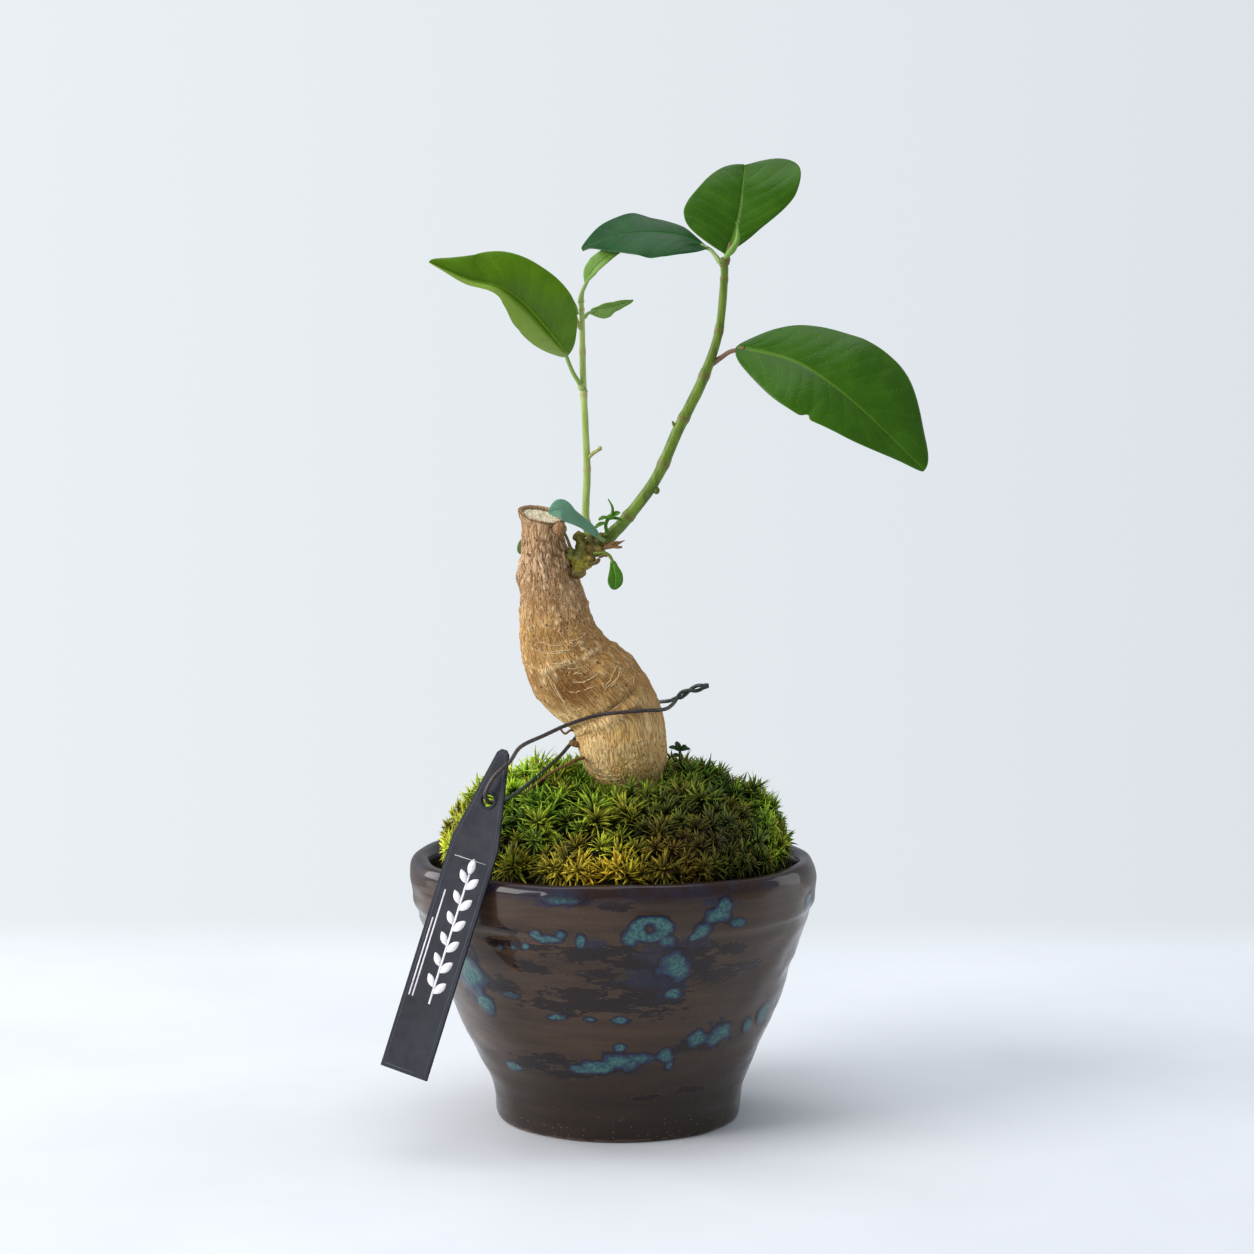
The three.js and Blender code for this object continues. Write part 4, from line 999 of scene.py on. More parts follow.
# Marks on the trunk's front, each as (x, z) points.
CREASE = [(-9.5, 81.6), (-5, 84.3), (-1.3, 86.4), (3.4, 90.2)]
CREASE_LIP = [(-8.6, 80.2), (-3.8, 82.9), (0, 85), (4.4, 88.4)]
BROW = [(-14.6, 94.6), (-11, 96.2), (-7.5, 97), (-3.3, 99.4)]
SCAR, SCAR_REACH = (-8.2, 91.3), (5.2, 4.6)
ALGAE, ALGAE_REACH = (1.8, 76.6), (1.6, 4.4)
FLAKE = (-20.2, -0.5, 113.6)          # a raised flake of bark, as (x, y, z)
FRONT_HAIRS = [
    [(-14.6, 95.2), (-12.4, 91.4), (-10.4, 88), (-8.3, 84.2)], [(-18.6, 95.7), (-16.4, 95), (-14.1, 94.2)],
    [(-14, 93.8), (-12.6, 90.8), (-10.8, 88.6), (-9, 87.8)], [(-13, 92.6), (-11, 88.6), (-8.8, 84.8)],
    [(-12.3, 96.3), (-10.2, 96.7), (-8.3, 96.5)], [(-8.7, 94.2), (-7.8, 94.5), (-7, 94.3)],
    [(-10.4, 100.8), (-8, 101.2), (-5.6, 102.8)], [(-17.6, 99.4), (-13.4, 98.4), (-9, 99.2)],
    [(-2, 91.8), (-0.9, 93.4), (0.2, 95.6)], [(-1, 91.6), (0.4, 93.4), (1.6, 95.2)],
    [(-6.6, 90.9), (-5.4, 91.4), (-4.2, 91.8)], [(-9.6, 90.6), (-8.4, 90.4), (-7.2, 90.8)],
    [(-13, 85.2), (-10.6, 85.4), (-8.4, 85)], [(-5.6, 78.6), (-1.8, 78.5), (1.6, 79)],
    [(-4.6, 73.2), (-1, 72.8), (1.9, 73.6)], [(-5, 72.2), (-1.4, 71.9), (1.2, 72.2)],
    [(-7, 76.6), (-5.8, 75.2), (-4, 75.6)], [(-13.6, 98.6), (-9.6, 99.4), (-6, 101.6)],
    [(-12, 95.8), (-8.4, 95.4), (-5.4, 96)], [(-3.6, 84.6), (-0.2, 87), (2.4, 88.6)],
    [(-15.6, 100.6), (-12.6, 100), (-10.6, 100.4)], [(-7.6, 79.6), (-6.6, 82), (-4.8, 84)],
    [(-9, 92.4), (-6, 92.8), (-3.4, 94.6)], [(-2, 91.4), (0.4, 93.6), (1.2, 95.4)],
]


def trunk_columns():
    """Ring places along the path, for each column from the saw cut down to the buried end."""
    shown = np.linspace(0, BURIED_FROM, SHOWN_ROWS)
    rows = np.concatenate([shown, np.linspace(BURIED_FROM, 1, BURIED_ROWS)[1:]])
    path = np.stack([TRUNK[:, 0], TRUNK[:, 0] * 0, TRUNK[:, 1]], -1)
    angle = np.linspace(0, 2 * math.pi, TRUNK_SIDES, endpoint=False)
    probe = np.linspace(0, 0.25, 240)
    centre, side, front = sweep_frame(path, probe, (0, 1, 0))
    radius = curve_point(TRUNK[:, 2], probe)[:, None, None]
    turn_side, turn_front = np.cos(angle)[None, :, None], np.sin(angle)[None, :, None]
    across = side[:, None] * turn_side + front[:, None] * turn_front
    above = (centre[:, None] + across * radius - SAW_POINT) @ SAW_NORMAL
    start = probe[np.argmax(above < 0, axis=0)]
    u = start[None, :] + (1 - start[None, :]) * rows[:, None]
    return path, angle, u


def ridged(wrap, size, seed):
    """1 on winding lines, 0 a short way off them."""
    return np.clip(1 - np.abs(noise(wrap, size, seed)) * 2.6, 0, 1)


def bark_pimples(angle, radius, z):
    """Round pimples all over the upper trunk, some with a pit."""
    rng = np.random.default_rng(8)
    pimple = np.zeros(len(z))
    pit = np.zeros(len(z))
    for _ in range(BARK_PIMPLES):
        place_z = rng.uniform(88, 123)
        place_a = rng.uniform(0, 2 * math.pi)
        size = rng.uniform(0.3, 0.62)
        turn = (angle - place_a + math.pi) % (2 * math.pi) - math.pi
        near = (np.abs(turn) * radius < 3) & (np.abs(z - place_z) < 3)
        away = np.hypot(turn[near] * radius[near], (z[near] - place_z) * 0.8)
        pimple[near] = np.maximum(pimple[near], bump_at(away, size))
        pit[near] = np.maximum(pit[near], bump_at(away, size * 0.42) * (rng.uniform() < 0.55))
    return pimple, pit


def trunk_relief(points, u, angle, radius):
    """Height of the bark in mm and what colours it, at each point of the trunk."""
    z = points[:, 2]
    along = u * TRUNK_LENGTH
    wrap = np.stack([np.cos(angle) * radius, np.sin(angle) * radius, along], -1)
    sway = np.stack([along * 0, along * 0, 1.6 * noise(wrap, 5, 50)], -1)
    twine = 0.5 * noise(wrap, (2.2, 2.2, 2.6), 58)[:, None] * [1, 1, 0]
    top = smooth_step(z, 104, 116)
    bend = bump_at(z - 93, 9)
    low = smooth_step(z, 90, 80)
    front = (points[:, 1] < 0) * 1.0
    plane = points[:, [0, 2]]

    furrow = ridged(wrap + sway + twine, (0.85, 0.85, 4.2), 51) ** 1.3
    fibre = ridged(wrap + 1.5 * sway + 1.3 * twine, (0.55, 0.55, 3.4), 52)
    crinkle = noise(wrap, (0.8, 0.8, 1.1), 53, 2)
    level = ridged(wrap + sway + twine, (3.2, 3.2, 0.62), 54)
    patchy = 0.65 + 0.5 * noise(wrap, 3, 55)
    height = -0.5 * furrow * (0.12 + 0.88 * top) * patchy * (1 - 0.6 * low)
    height += -0.16 * fibre * (0.35 + 0.65 * low) + 0.05 * crinkle * (1 - 0.6 * top)
    height += -0.12 * level * bend * patchy
    height += 0.4 * noise(wrap, (6, 6, 9), 56)

    away = (plane - SCAR) / SCAR_REACH
    scar = np.exp(-(away[:, 0] ** 2 + away[:, 1] ** 2) ** 2) * front
    crease, lip, brow = (bump_at(polyline_distance(plane, line), width) * front
                         for line, width in ((CREASE, 0.85), (CREASE_LIP, 1.1), (BROW, 0.8)))
    height += -0.45 * crease + 0.3 * lip + 0.4 * brow - 0.35 * scar
    pimple, pit = bark_pimples(angle, radius, z)
    height += 0.34 * pimple - 0.42 * pit
    height += 0.8 * bump_at(np.linalg.norm((points - FLAKE) * [1, 1, 0.6], axis=1), 1.4)
    cut_near = smooth_step((SAW_POINT - points) @ SAW_NORMAL, 2.4, 0.4)
    height += 0.45 * cut_near * (0.7 + 0.5 * noise(wrap, 2.2, 57))

    # Darker in the furrows, fibres, crease and the wrinkles of the bend: partly the bark's own dark lines,
    # partly painted shade in these hollows. The pits add the pimples' own dark centres.
    dark = furrow * (0.12 + 0.88 * top) * 0.8 * (1 - 0.7 * low) + fibre * (0.3 + 0.7 * low) * 0.25
    dark = np.clip(dark + 0.45 * crease + 0.3 * level * bend + 1.2 * pit, 0, 1)
    pale = np.clip(0.6 * pimple - pit + 0.35 * brow + 0.3 * lip + 0.2 * cut_near
                   + 0.25 * crinkle * (1 - top), 0, 1)
    away = (plane - ALGAE) / ALGAE_REACH
    algae = bump_at(np.hypot(away[:, 0], away[:, 1]), 1) * front
    return height, {"furrow": dark, "pale": pale, "scar": scar, "algae": algae, "wrap": wrap}


def saw_cut(rim):
    """The sawn top: a rolled bark rim and pale wood on the cut's own plane, and how far in."""
    centre = rim.mean(0)
    rings = centre + (rim - centre)[None] * SAW_RINGS[:, None, None] + SAW_NORMAL * SAW_LIFT[:, None, None]
    flat = rings.reshape(-1, 3)
    rough = 0.14 * noise(flat, 0.9, 61) + 0.06 * noise(flat, 0.4, 62)
    flat = flat + SAW_NORMAL * rough[:, None]
    points = np.concatenate([flat, [centre - 0.06 * SAW_NORMAL]])
    return points, np.append(np.repeat(1 - SAW_RINGS, len(rim)), 1.0)


def trunk_roots():
    """Roots that spread from the trunk's foot down into the soil."""
    shapes = []
    for i in range(ROOT_COUNT):
        angle = 0.5 + 2 * math.pi * i / ROOT_COUNT
        path = [[2 + out * math.cos(angle), out * math.sin(angle), z] for out, z in ROOT_PATH]
        shapes.append(tube(path, ROOT_RADII, 14, 30, (0, 0, 1),
                           lambda t, a, i=i: 1 + 0.05 * np.sin(3 * a + 11 * t + i)))
    return shapes


def hair_path(surface, marks):
    """Lays (x, z) marks on the front of the trunk, half sunk in the bark."""
    marks = curve_point(np.array(marks), np.linspace(0, 1, 3 * len(marks)))
    path = []
    for x, z in marks:
        away = np.hypot(surface[:, 0] - x, surface[:, 2] - z)
        path.append(surface[np.argmin(away)])
    return np.array(path)


def side_hairs(surface, rng):
    """Short root hairs and dashes strewn over the rest of the trunk."""
    paths = []
    facing = np.arctan2(surface[:, 1], surface[:, 0] - 0.3)
    for _ in range(SIDE_HAIRS):
        z = rng.uniform(68, 106)
        heading = rng.uniform(0, 2 * math.pi)
        miss = np.abs(surface[:, 2] - z) + 2 * np.abs(facing - (heading - math.pi))
        start = surface[np.argmin(miss)]
        step = rng.normal(0, 1, 3) * [1, 1, 0.5]
        length = rng.uniform(0.6, 2.6)
        path = [start]
        for k in (0.35, 0.7, 1.0):
            aim = start + unit(step) * length * k + rng.normal(0, 0.15, 3)
            path.append(surface[np.argmin(np.sum((surface - aim) ** 2, axis=1))])
        paths.append(np.array(path))
    return paths


def trunk_twigs():
    """A broken stub and a thin dark twig on the left of the lower trunk, a knob near its top."""
    stub = tube([[-7.4, -1.5, 78.6], [-8.6, -2, 78.8], [-9.7, -2.2, 79.2]], [0.75, 0.7, 0.5],
                12, 12, furrow=0.9)
    twig = tube([[-7.6, -1, 81.2], [-9.4, -1.6, 81.6], [-10.6, -1.8, 80.9], [-11.6, -2, 81.9]],
                [0.28, 0.26, 0.24, 0.2], 8, 16, furrow=1.0)
    knob = ball([-11.6, -4.3, 123.8], [1.5, 1.4, 1.4], furrow=0.4)
    return [stub, twig, knob]


def trunk_body():
    """The barked body with its sawn top and closed foot, and the points of its side."""
    path, angle, u = trunk_columns()
    rows = len(u)
    flat_u = u.ravel()
    flat_a = np.tile(angle, rows)
    centre, side, front = sweep_frame(path, flat_u, (0, 1, 0))
    radius = curve_point(TRUNK[:, 2], flat_u)
    outward = side * np.cos(flat_a)[:, None] + front * np.sin(flat_a)[:, None]
    plain = centre + outward * (radius * (1 + 0.02 * np.sin(3 * flat_a + 9 * flat_u)))[:, None]
    height, colours = trunk_relief(plain, flat_u, flat_a, radius)
    points = plain + outward * height[:, None]
    above = np.maximum((points - SAW_POINT) @ SAW_NORMAL, 0)
    points = points - SAW_NORMAL * above[:, None]

    cap, inside = saw_cut(points[:TRUNK_SIDES])
    n = len(points)
    every = np.concatenate([points, cap, centre[-1:] - [0, 0, 0.3]])
    cap_rows = n + np.arange(len(SAW_RINGS) * TRUNK_SIDES).reshape(-1, TRUNK_SIDES)
    ladder = np.concatenate([np.arange(TRUNK_SIDES)[None], cap_rows])
    after = np.roll(ladder, -1, axis=1)
    cap_quads = np.stack([ladder[:-1], ladder[1:], after[1:], after[:-1]], -1).reshape(-1, 4)
    quads = np.concatenate([grid_quads(rows, TRUNK_SIDES, True), cap_quads])
    tip = fan(ladder[-1], n + len(cap) - 1)
    bottom = fan(np.arange(n - TRUNK_SIDES, n), len(every) - 1, True)
    triangles = np.concatenate([tip[:, ::-1], bottom[:, ::-1]])
    extra = np.zeros(len(every) - n)
    values = {name: np.concatenate([v, every[n:] if name == "wrap" else extra])
              for name, v in colours.items()}
    values["cut"] = np.concatenate([np.zeros(n), inside, [0]])
    return Shape(every, quads, triangles, **values).outward(), points


def make_trunk():
    body, points = trunk_body()
    surface = points[points[:, 2] > 66]
    visible = surface[surface[:, 1] < 0]
    front_hairs = [tube(hair_path(visible, marks), [0.1, 0.14, 0.12, 0.06], 6, 16, (0, 1, 0.2), pale=0.6)
                   for marks in FRONT_HAIRS]
    other_hairs = [tube(path, [0.08, 0.13, 0.11, 0.05], 5, 7, (0.1, 0.3, 1), pale=0.55)
                   for path in side_hairs(surface, np.random.default_rng(12))]
    additions = [*trunk_roots(), *front_hairs, *other_hairs, *trunk_twigs()]
    for addition in additions:
        addition.values["wrap"] = addition.points
    piece("root_trunk", join([body, *additions]), bark_material(), "bark", "trunk")


# ---------------------------------------------------------------- graft union
UNION_LUMPS = [
    ((-7.2, -1, 117.3), (2.6, 3, 2.4)), ((-4.4, -0.5, 119.6), (2.2, 2.4, 1.8)),
    ((-2.4, 0, 120.9), (1.7, 1.8, 1.5)), ((-6.9, -0.5, 120), (1.6, 2, 1.6)),
    ((-7.7, -1.2, 121.9), (1.3, 1.2, 1.3)), ((-7.9, -2.6, 114.6), (1.7, 1.6, 1.5)),
    ((-5.2, -2.7, 117.6), (1.1, 1.1, 1.0)), ((-3.4, -2.4, 119.4), (0.9, 0.9, 0.9)),
    ((-9.2, -2.4, 118.4), (1.1, 1.2, 1.4)), ((-3.1, -1.8, 122.3), (0.8, 0.8, 0.8)),
    ((-1.2, 1.2, 120.2), (1.1, 1.2, 1.0)), ((-6.2, 2.2, 118.6), (1.8, 1.6, 1.7)),
    ((-5.2, -2.2, 121.8), (0.9, 0.9, 0.8)), ((-4, 1.8, 121.2), (1.2, 1.1, 1.0)),
]
UNION_TINTS = [
    ((-7.6, -2, 122), (1.6, 2, 1.6), srgb(112, 108, 26)),
    ((-8.6, -2, 118.6), (1.8, 3, 1.8), srgb(86, 98, 18)),
    ((-6.6, -3, 116), (1.8, 3, 1.8), srgb(176, 160, 40)),
    ((-4.6, -2, 119), (1.6, 3, 1.3), srgb(110, 88, 24)),
    ((-3, -2, 121), (1.6, 3, 1.4), srgb(120, 106, 34)),
    ((-7.8, -2, 114.4), (1.6, 2.5, 1.4), srgb(112, 84, 54)),
    ((-1.8, 0, 121.6), (1.5, 2, 1.5), srgb(128, 138, 50)),
]
UNION_GRAIN = 0.17           # mm between the points of the merged lumps


def merged_lumps():
    """The lumps of the graft grown together: points, their normals, quads and triangles."""
    balls = join([ball(centre, radii, 14, 20) for centre, radii in UNION_LUMPS])
    lump = add_object("union_lumps", make_mesh("union_lumps", balls))
    merge = lump.modifiers.new("merge", "REMESH")
    merge.mode = "VOXEL"
    merge.voxel_size = UNION_GRAIN * MM
    soften = lump.modifiers.new("soften", "SMOOTH")
    soften.iterations = 3
    result = lump.evaluated_get(bpy.context.evaluated_depsgraph_get()).to_mesh()
    points, quads, triangles = read_mesh(result)
    normals = np.empty(points.size)
    result.vertices.foreach_get("normal", normals)
    bpy.data.objects.remove(lump)
    return (points - AXIS) / MM, normals.reshape(-1, 3), quads, triangles


def make_union():
    points, normals, quads, triangles = merged_lumps()
    rough = 0.22 * noise(points, 1.3, 71) + 0.12 * noise(points, 0.6, 72)
    seams = -0.2 * np.clip(1 - 3 * np.abs(noise(points, 1.9, 73)), 0, 1)
    points = points + normals * (rough + seams)[:, None]
    tint = tinted(points, UNION_TINTS, srgb(96, 84, 28)) * (1 + 0.3 * noise(points, 0.9, 74)[:, None])
    # Darker in the seams between the lumps: painted shade in the grooves.
    tint = tint * (1 + 2.2 * np.minimum(seams, 0))[:, None]
    lumps = Shape(points, quads, triangles, tint=np.clip(tint, 0, 1))
    strands = [
        tube([[-11.7, -2.2, 124.2], [-10.4, -2.7, 122.4], [-9.7, -2.7, 120.6], [-9.1, -2.4, 118.6]],
             [0.42, 0.3, 0.34, 0.5], 10, 24),
        tube([[-5.6, -2.6, 116.4], [-4, -3, 116.9], [-3.4, -3, 117.6]], [0.5, 0.5, 0.35], 10, 14),
        tube([[-3.4, -2.4, 118], [-2.2, -3, 118.4], [-1.8, -3, 118]], [0.45, 0.4, 0.3], 10, 14),
    ]
    for strand in strands:
        strand.values["tint"] = np.tile(np.array(srgb(106, 84, 34)), (len(strand.points), 1))
    piece("graft_callus", join([lumps, *strands]), callus_material(), "callus", "graft_union")


# ---------------------------------------------------------------- stems
STEM_RIGHT = [
    [-2.1, 0, 121.2], [1.9, -0.5, 125.4], [8.1, -1, 133.7], [13.3, -1, 145.1],
    [17.4, -0.8, 153.3], [21.1, -0.3, 163.6], [22.3, 0, 174.9], [22.3, 0, 178.6]]
STEM_RIGHT_R = [1.4, 1.25, 1.2, 1.15, 1.1, 0.9, 0.8, 0.8]
STEM_LEFT = [
    [-5.6, 0.5, 121.9], [-6.3, 0.8, 126.5], [-6, 1, 135], [-6.3, 1.2, 144],
    [-6.8, 1.2, 154.4], [-7, 1, 166.7], [-7.2, 0.8, 170.6]]
STEM_LEFT_R = [1.0, 0.8, 0.75, 0.72, 0.68, 0.58, 0.55]
STUB = [[-6, 1, 138], [-5, 0.7, 139], [-3.5, 0.5, 140]]
RIGHT_NODES = [0.16, 0.33, 0.45, 0.6, 0.725, 0.86, 0.97]
LEFT_NODES = [0.12, 0.35, 0.62, 0.74, 0.9]


def stem(points, radii, nodes, seed):
    """A stem with a swollen ring at each node and a slightly uneven section."""
    def swell(t, angle):
        rings = sum(bump_at(t - node, 0.009) for node in nodes)
        ridges = sum(bump_at(t - node - 0.012, 0.004) for node in nodes)
        spot = np.stack([np.cos(angle), np.sin(angle), t * 22], -1).reshape(-1, 3)
        return (1 + 0.14 * rings + 0.07 * ridges + 0.05 * noise(spot, 0.8, seed).reshape(t.shape)
                + 0.02 * np.sin(5 * angle))
    shape = tube(points, radii, 28, 260, swell=swell)
    along = shape.values["along"]
    shape.values["node"] = np.clip(sum(bump_at(along - node, 0.008) for node in nodes), 0, 1)
    return shape


def make_stems():
    twig = tube([[12.6, -1.2, 144.6], [12, -1.3, 145.2], [11.7, -1.4, 145.9]], [0.4, 0.35, 0.2],
                12, 12, node=1.0)
    bump = ball([8.4, -1.4, 131.6], [0.7, 0.6, 0.8], node=0.2)
    crown = ball([22.3, 0, 178.7], [1.05, 1.0, 1.0], node=0.35)
    right = join([stem(STEM_RIGHT, STEM_RIGHT_R, RIGHT_NODES, 81), twig, bump, crown])
    green = stem_material("stem_right", srgb(108, 134, 36), srgb(80, 104, 18), srgb(112, 92, 50))
    piece("right_shoot", right, green, "stem", "stem_right")

    stub = tube(STUB, [0.5, 0.42, 0.36], 14, 16, node=0.7)
    claw = ball([-3.3, 0.5, 140.2], [0.45, 0.4, 0.5], node=1.0)
    sheath = tube([[-7.3, 0.6, 165], [-8, 0.2, 166.4], [-8.3, 0, 168.2]], [0.5, 0.42, 0.15],
                  12, 16, node=0.9)
    bud = ball([-7.2, 0.7, 153], [0.75, 0.7, 0.9], node=0.4)
    crown = ball([-7.2, 0.9, 170.6], [0.7, 0.7, 0.9], node=0.3)
    left = join([stem(STEM_LEFT, STEM_LEFT_R, LEFT_NODES, 83), stub, claw, sheath, bud, crown])
    pale = stem_material("stem_left", srgb(172, 190, 112), srgb(144, 166, 78), srgb(176, 152, 108))
    piece("left_shoot", left, pale, "stem", "stem_left")


# ---------------------------------------------------------------- leaves
# rib: midrib from stalk to tip. face: where the upper side looks, at base and tip. left, right:
# half-widths along the leaf. fold: degrees each half lifts at base and tip. cup: degrees more
# towards the edge. lean: how far each half sweeps forward. stalk: the petiole. veins: side veins
# a half. ripple: how far the edge waves, in mm. notch: half, place, length and depth of a bite.
LEAVES = {
    "leaf_right": dict(
        rib=[[24.9, -1, 161.2], [35.6, -5, 158.6], [43, -8, 154.3], [51, -10, 147.6], [62.8, -11, 136.1]],
        face=[[0.15, -0.85, 0.5], [0.35, -0.9, 0.25]],
        left=[3.8, 9.1, 12.8, 13, 5.6], right=[4.8, 9.5, 10.1, 7.2, 2.2],
        fold=[[8, 8], [4, 4]], cup=[-14, -10],
        stalk=[[19.6, -0.3, 157.6], [21.9, -0.4, 159.1], [23.6, -0.7, 160.2], [26.5, -1.6, 160.9]],
        stalk_r=0.55, rows=130, columns=40, veins=11, ripple=0.35, notch=(1, 0.55, 0.02, 1.0)),
    "leaf_left": dict(
        rib=[[-9.9, -1, 159.4], [-14, -3.5, 164.7], [-18.5, -6, 169.8], [-23.5, -8, 173.4], [-30, -9.5, 175],
             [-37.8, -10.5, 178.3]],
        face=[[-0.1, -0.95, 0.1], [-0.3, -0.9, 0.35]],
        left=[3, 7.2, 9.6, 6.5, 2.6], right=[3.9, 8.1, 7.9, 6, 2.3],
        fold=[[48, 62], [5, 5]], cup=[10, -12],
        stalk=[[-6.8, 0.9, 152.6], [-7.6, 0.3, 153.8], [-9.1, -0.4, 156.4], [-10.6, -1.4, 160.3]],
        # Its left half gets a paler tint: a painted sheen of the window on the folded half.
        stalk_r=0.5, rows=120, columns=36, veins=10, ripple=0.25, painted_sheen_side=0),
    "leaf_top_right": dict(
        rib=[[22.6, 0, 180.2], [24.3, 1.5, 184.3], [25.5, 3, 189], [26.2, 5, 194], [26.8, 8, 198.8]],
        face=[[0, -1, 0.15], [0, -0.75, 0.65]],
        left=[9, 11.2, 10.6, 7.8, 4.3], right=[1.4, 4.7, 10.9, 11.5, 7.5],
        fold=[[6, 6], [10, 10]], cup=[-8, -6], lean=[0.1, 0.45],
        stalk=[[22.9, 0, 179.1], [23, 0.1, 180.2], [23.6, 0.9, 182.4]],
        stalk_r=0.55, rows=90, columns=44, veins=8, ripple=0.3),
    "leaf_top_left": dict(
        rib=[[19, 1, 181.5], [13, 3.5, 184], [6.5, 6, 184.7], [0, 8.5, 184], [-7.2, 11, 181.6]],
        face=[[0, -0.55, 0.83], [0, -0.5, 0.86]],
        left=[3.2, 6.7, 7.4, 5, 1.2], right=[0.8, 2.5, 4.8, 7.5, 3.5],
        fold=[[-6, -6], [18, 14]], cup=[-10, -10],
        stalk=[[21.2, 0.4, 178.9], [20.3, 0.7, 180.2], [19.4, 1, 181.2], [17.6, 1.8, 182.2]],
        stalk_r=0.45, rows=100, columns=34, veins=9, ripple=0.3),
    "leaf_small_back": dict(
        rib=[[-6.3, 3, 174.2], [-4.9, 4.5, 176.6], [-2.8, 6.5, 178.9], [0.4, 9, 181.2], [4, 12, 182.6]],
        face=[[-0.3, -0.9, 0.3], [-0.3, -0.8, 0.6]],
        left=[0.8, 1.9, 2.4, 1.9, 1.2], right=[0.5, 1.1, 1.3, 1, 0.4],
        fold=[[10, 10], [10, 10]],
        stalk=[[-7.2, 0.9, 171.2], [-6.9, 1.6, 172.6], [-6.1, 3.2, 174.4], [-5.4, 4, 175.8]],
        stalk_r=0.45, rows=60, columns=16, veins=6, ripple=0.08),
    "leaf_small_right": dict(
        rib=[[-5.4, 4, 168.2], [-2.6, 6, 169], [0.2, 8, 169.6], [3.6, 10, 170.9]],
        face=[[0, -0.8, 0.6], [0, -0.8, 0.6]],
        left=[0.7, 1, 1.3, 1.1, 0.4], right=[2.6, 2.8, 1.6, 0.9, 0.5],
        fold=[[10, 10], [10, 10]], lean=[0, 0.2],
        stalk=[[-6.4, 1.6, 167.4], [-5.6, 3.2, 168.2], [-4, 5, 168.6]],
        stalk_r=0.35, rows=50, columns=14, veins=5, ripple=0.08),
    "leaf_low_front": dict(
        rib=[[-3.6, -6, 122.1], [-6, -7, 124.6], [-8.8, -8, 126.6], [-11.2, -8.5, 127.9], [-13.8, -9, 127.5]],
        face=[[0.1, -0.75, 0.65], [0, -0.75, 0.65]],
        left=[0.7, 1.7, 2.4, 2.8, 1.6], right=[0.9, 1.1, 1.5, 2.5, 1.2],
        fold=[[20, 10], [20, 10]],
        stalk=[[-2.6, -1.6, 121.3], [-3, -4.2, 121.7], [-3.9, -6.2, 122.6]],
        stalk_r=0.45, rows=60, columns=16, veins=6, ripple=0.1),
    "leaf_hanging": dict(
        rib=[[-0.9, -3, 117.2], [-0.5, -3.6, 115.8], [-0.2, -4, 114.2], [-0.2, -4.2, 112.7],
             [-0.4, -4.3, 111.2]],
        face=[[0, -1, 0], [0, -1, 0.1]],
        left=[0.7, 1, 1.6, 1.6, 0.8], right=[0.4, 0.8, 1.4, 1.5, 0.9],
        fold=[[6, 6], [6, 6]],
        stalk=[[-4.4, -2, 118.6], [-2.9, -2.9, 118.9], [-1.6, -3.1, 118.4], [-0.9, -3.1, 117.5],
               [-0.7, -3.3, 116.5]],
        stalk_r=0.4, rows=50, columns=14, veins=5, ripple=0.12),
    "leaf_back_low": dict(
        rib=[[-17.2, 6.2, 122.6], [-18.8, 7.6, 121.2], [-19.9, 8.4, 119.4], [-20, 9, 117.6]],
        face=[[-0.5, 0.3, 0.8], [-0.8, 0.2, 0.5]],
        left=[0.9, 1.4, 1.6, 1.3, 0.7], right=[0.9, 1.4, 1.6, 1.3, 0.7],
        fold=[[10, 10], [10, 10]],
        stalk=[[-16, 5, 123], [-16.6, 5.8, 122.8], [-17.8, 6.8, 122.1]],
        stalk_r=0.35, rows=50, columns=14, veins=5, ripple=0.08),
}


def leaf_veins(u, v, side, veins, length, broad, seed):
    """Side veins of each half, and how the skin puffs up between them."""
    inner = np.clip(np.abs(v), 0, 1)
    swept = u - 0.2 * inner ** 0.85 + 0.04 * inner ** 3
    wobble = 0.012 * noise(np.stack([u * 8, v * 2 + 5 * side, v * 0 + seed], -1), 1, 91)
    phase = (swept + wobble) * veins + 0.5 * side
    gap = np.abs(phase - np.round(phase)) / veins * length
    fade = smooth_step(inner, 0.98, 0.75) * smooth_step(u, 0.01, 0.08) * smooth_step(u, 1.0, 0.9)
    vein = bump_at(gap, 0.01 * broad + 0.1) * fade * smooth_step(inner, 0, 0.05)
    between = 0.5 - 0.5 * np.cos(2 * math.pi * phase)
    return vein, 0.003 * broad * between * fade * smooth_step(inner, 0, 0.3)


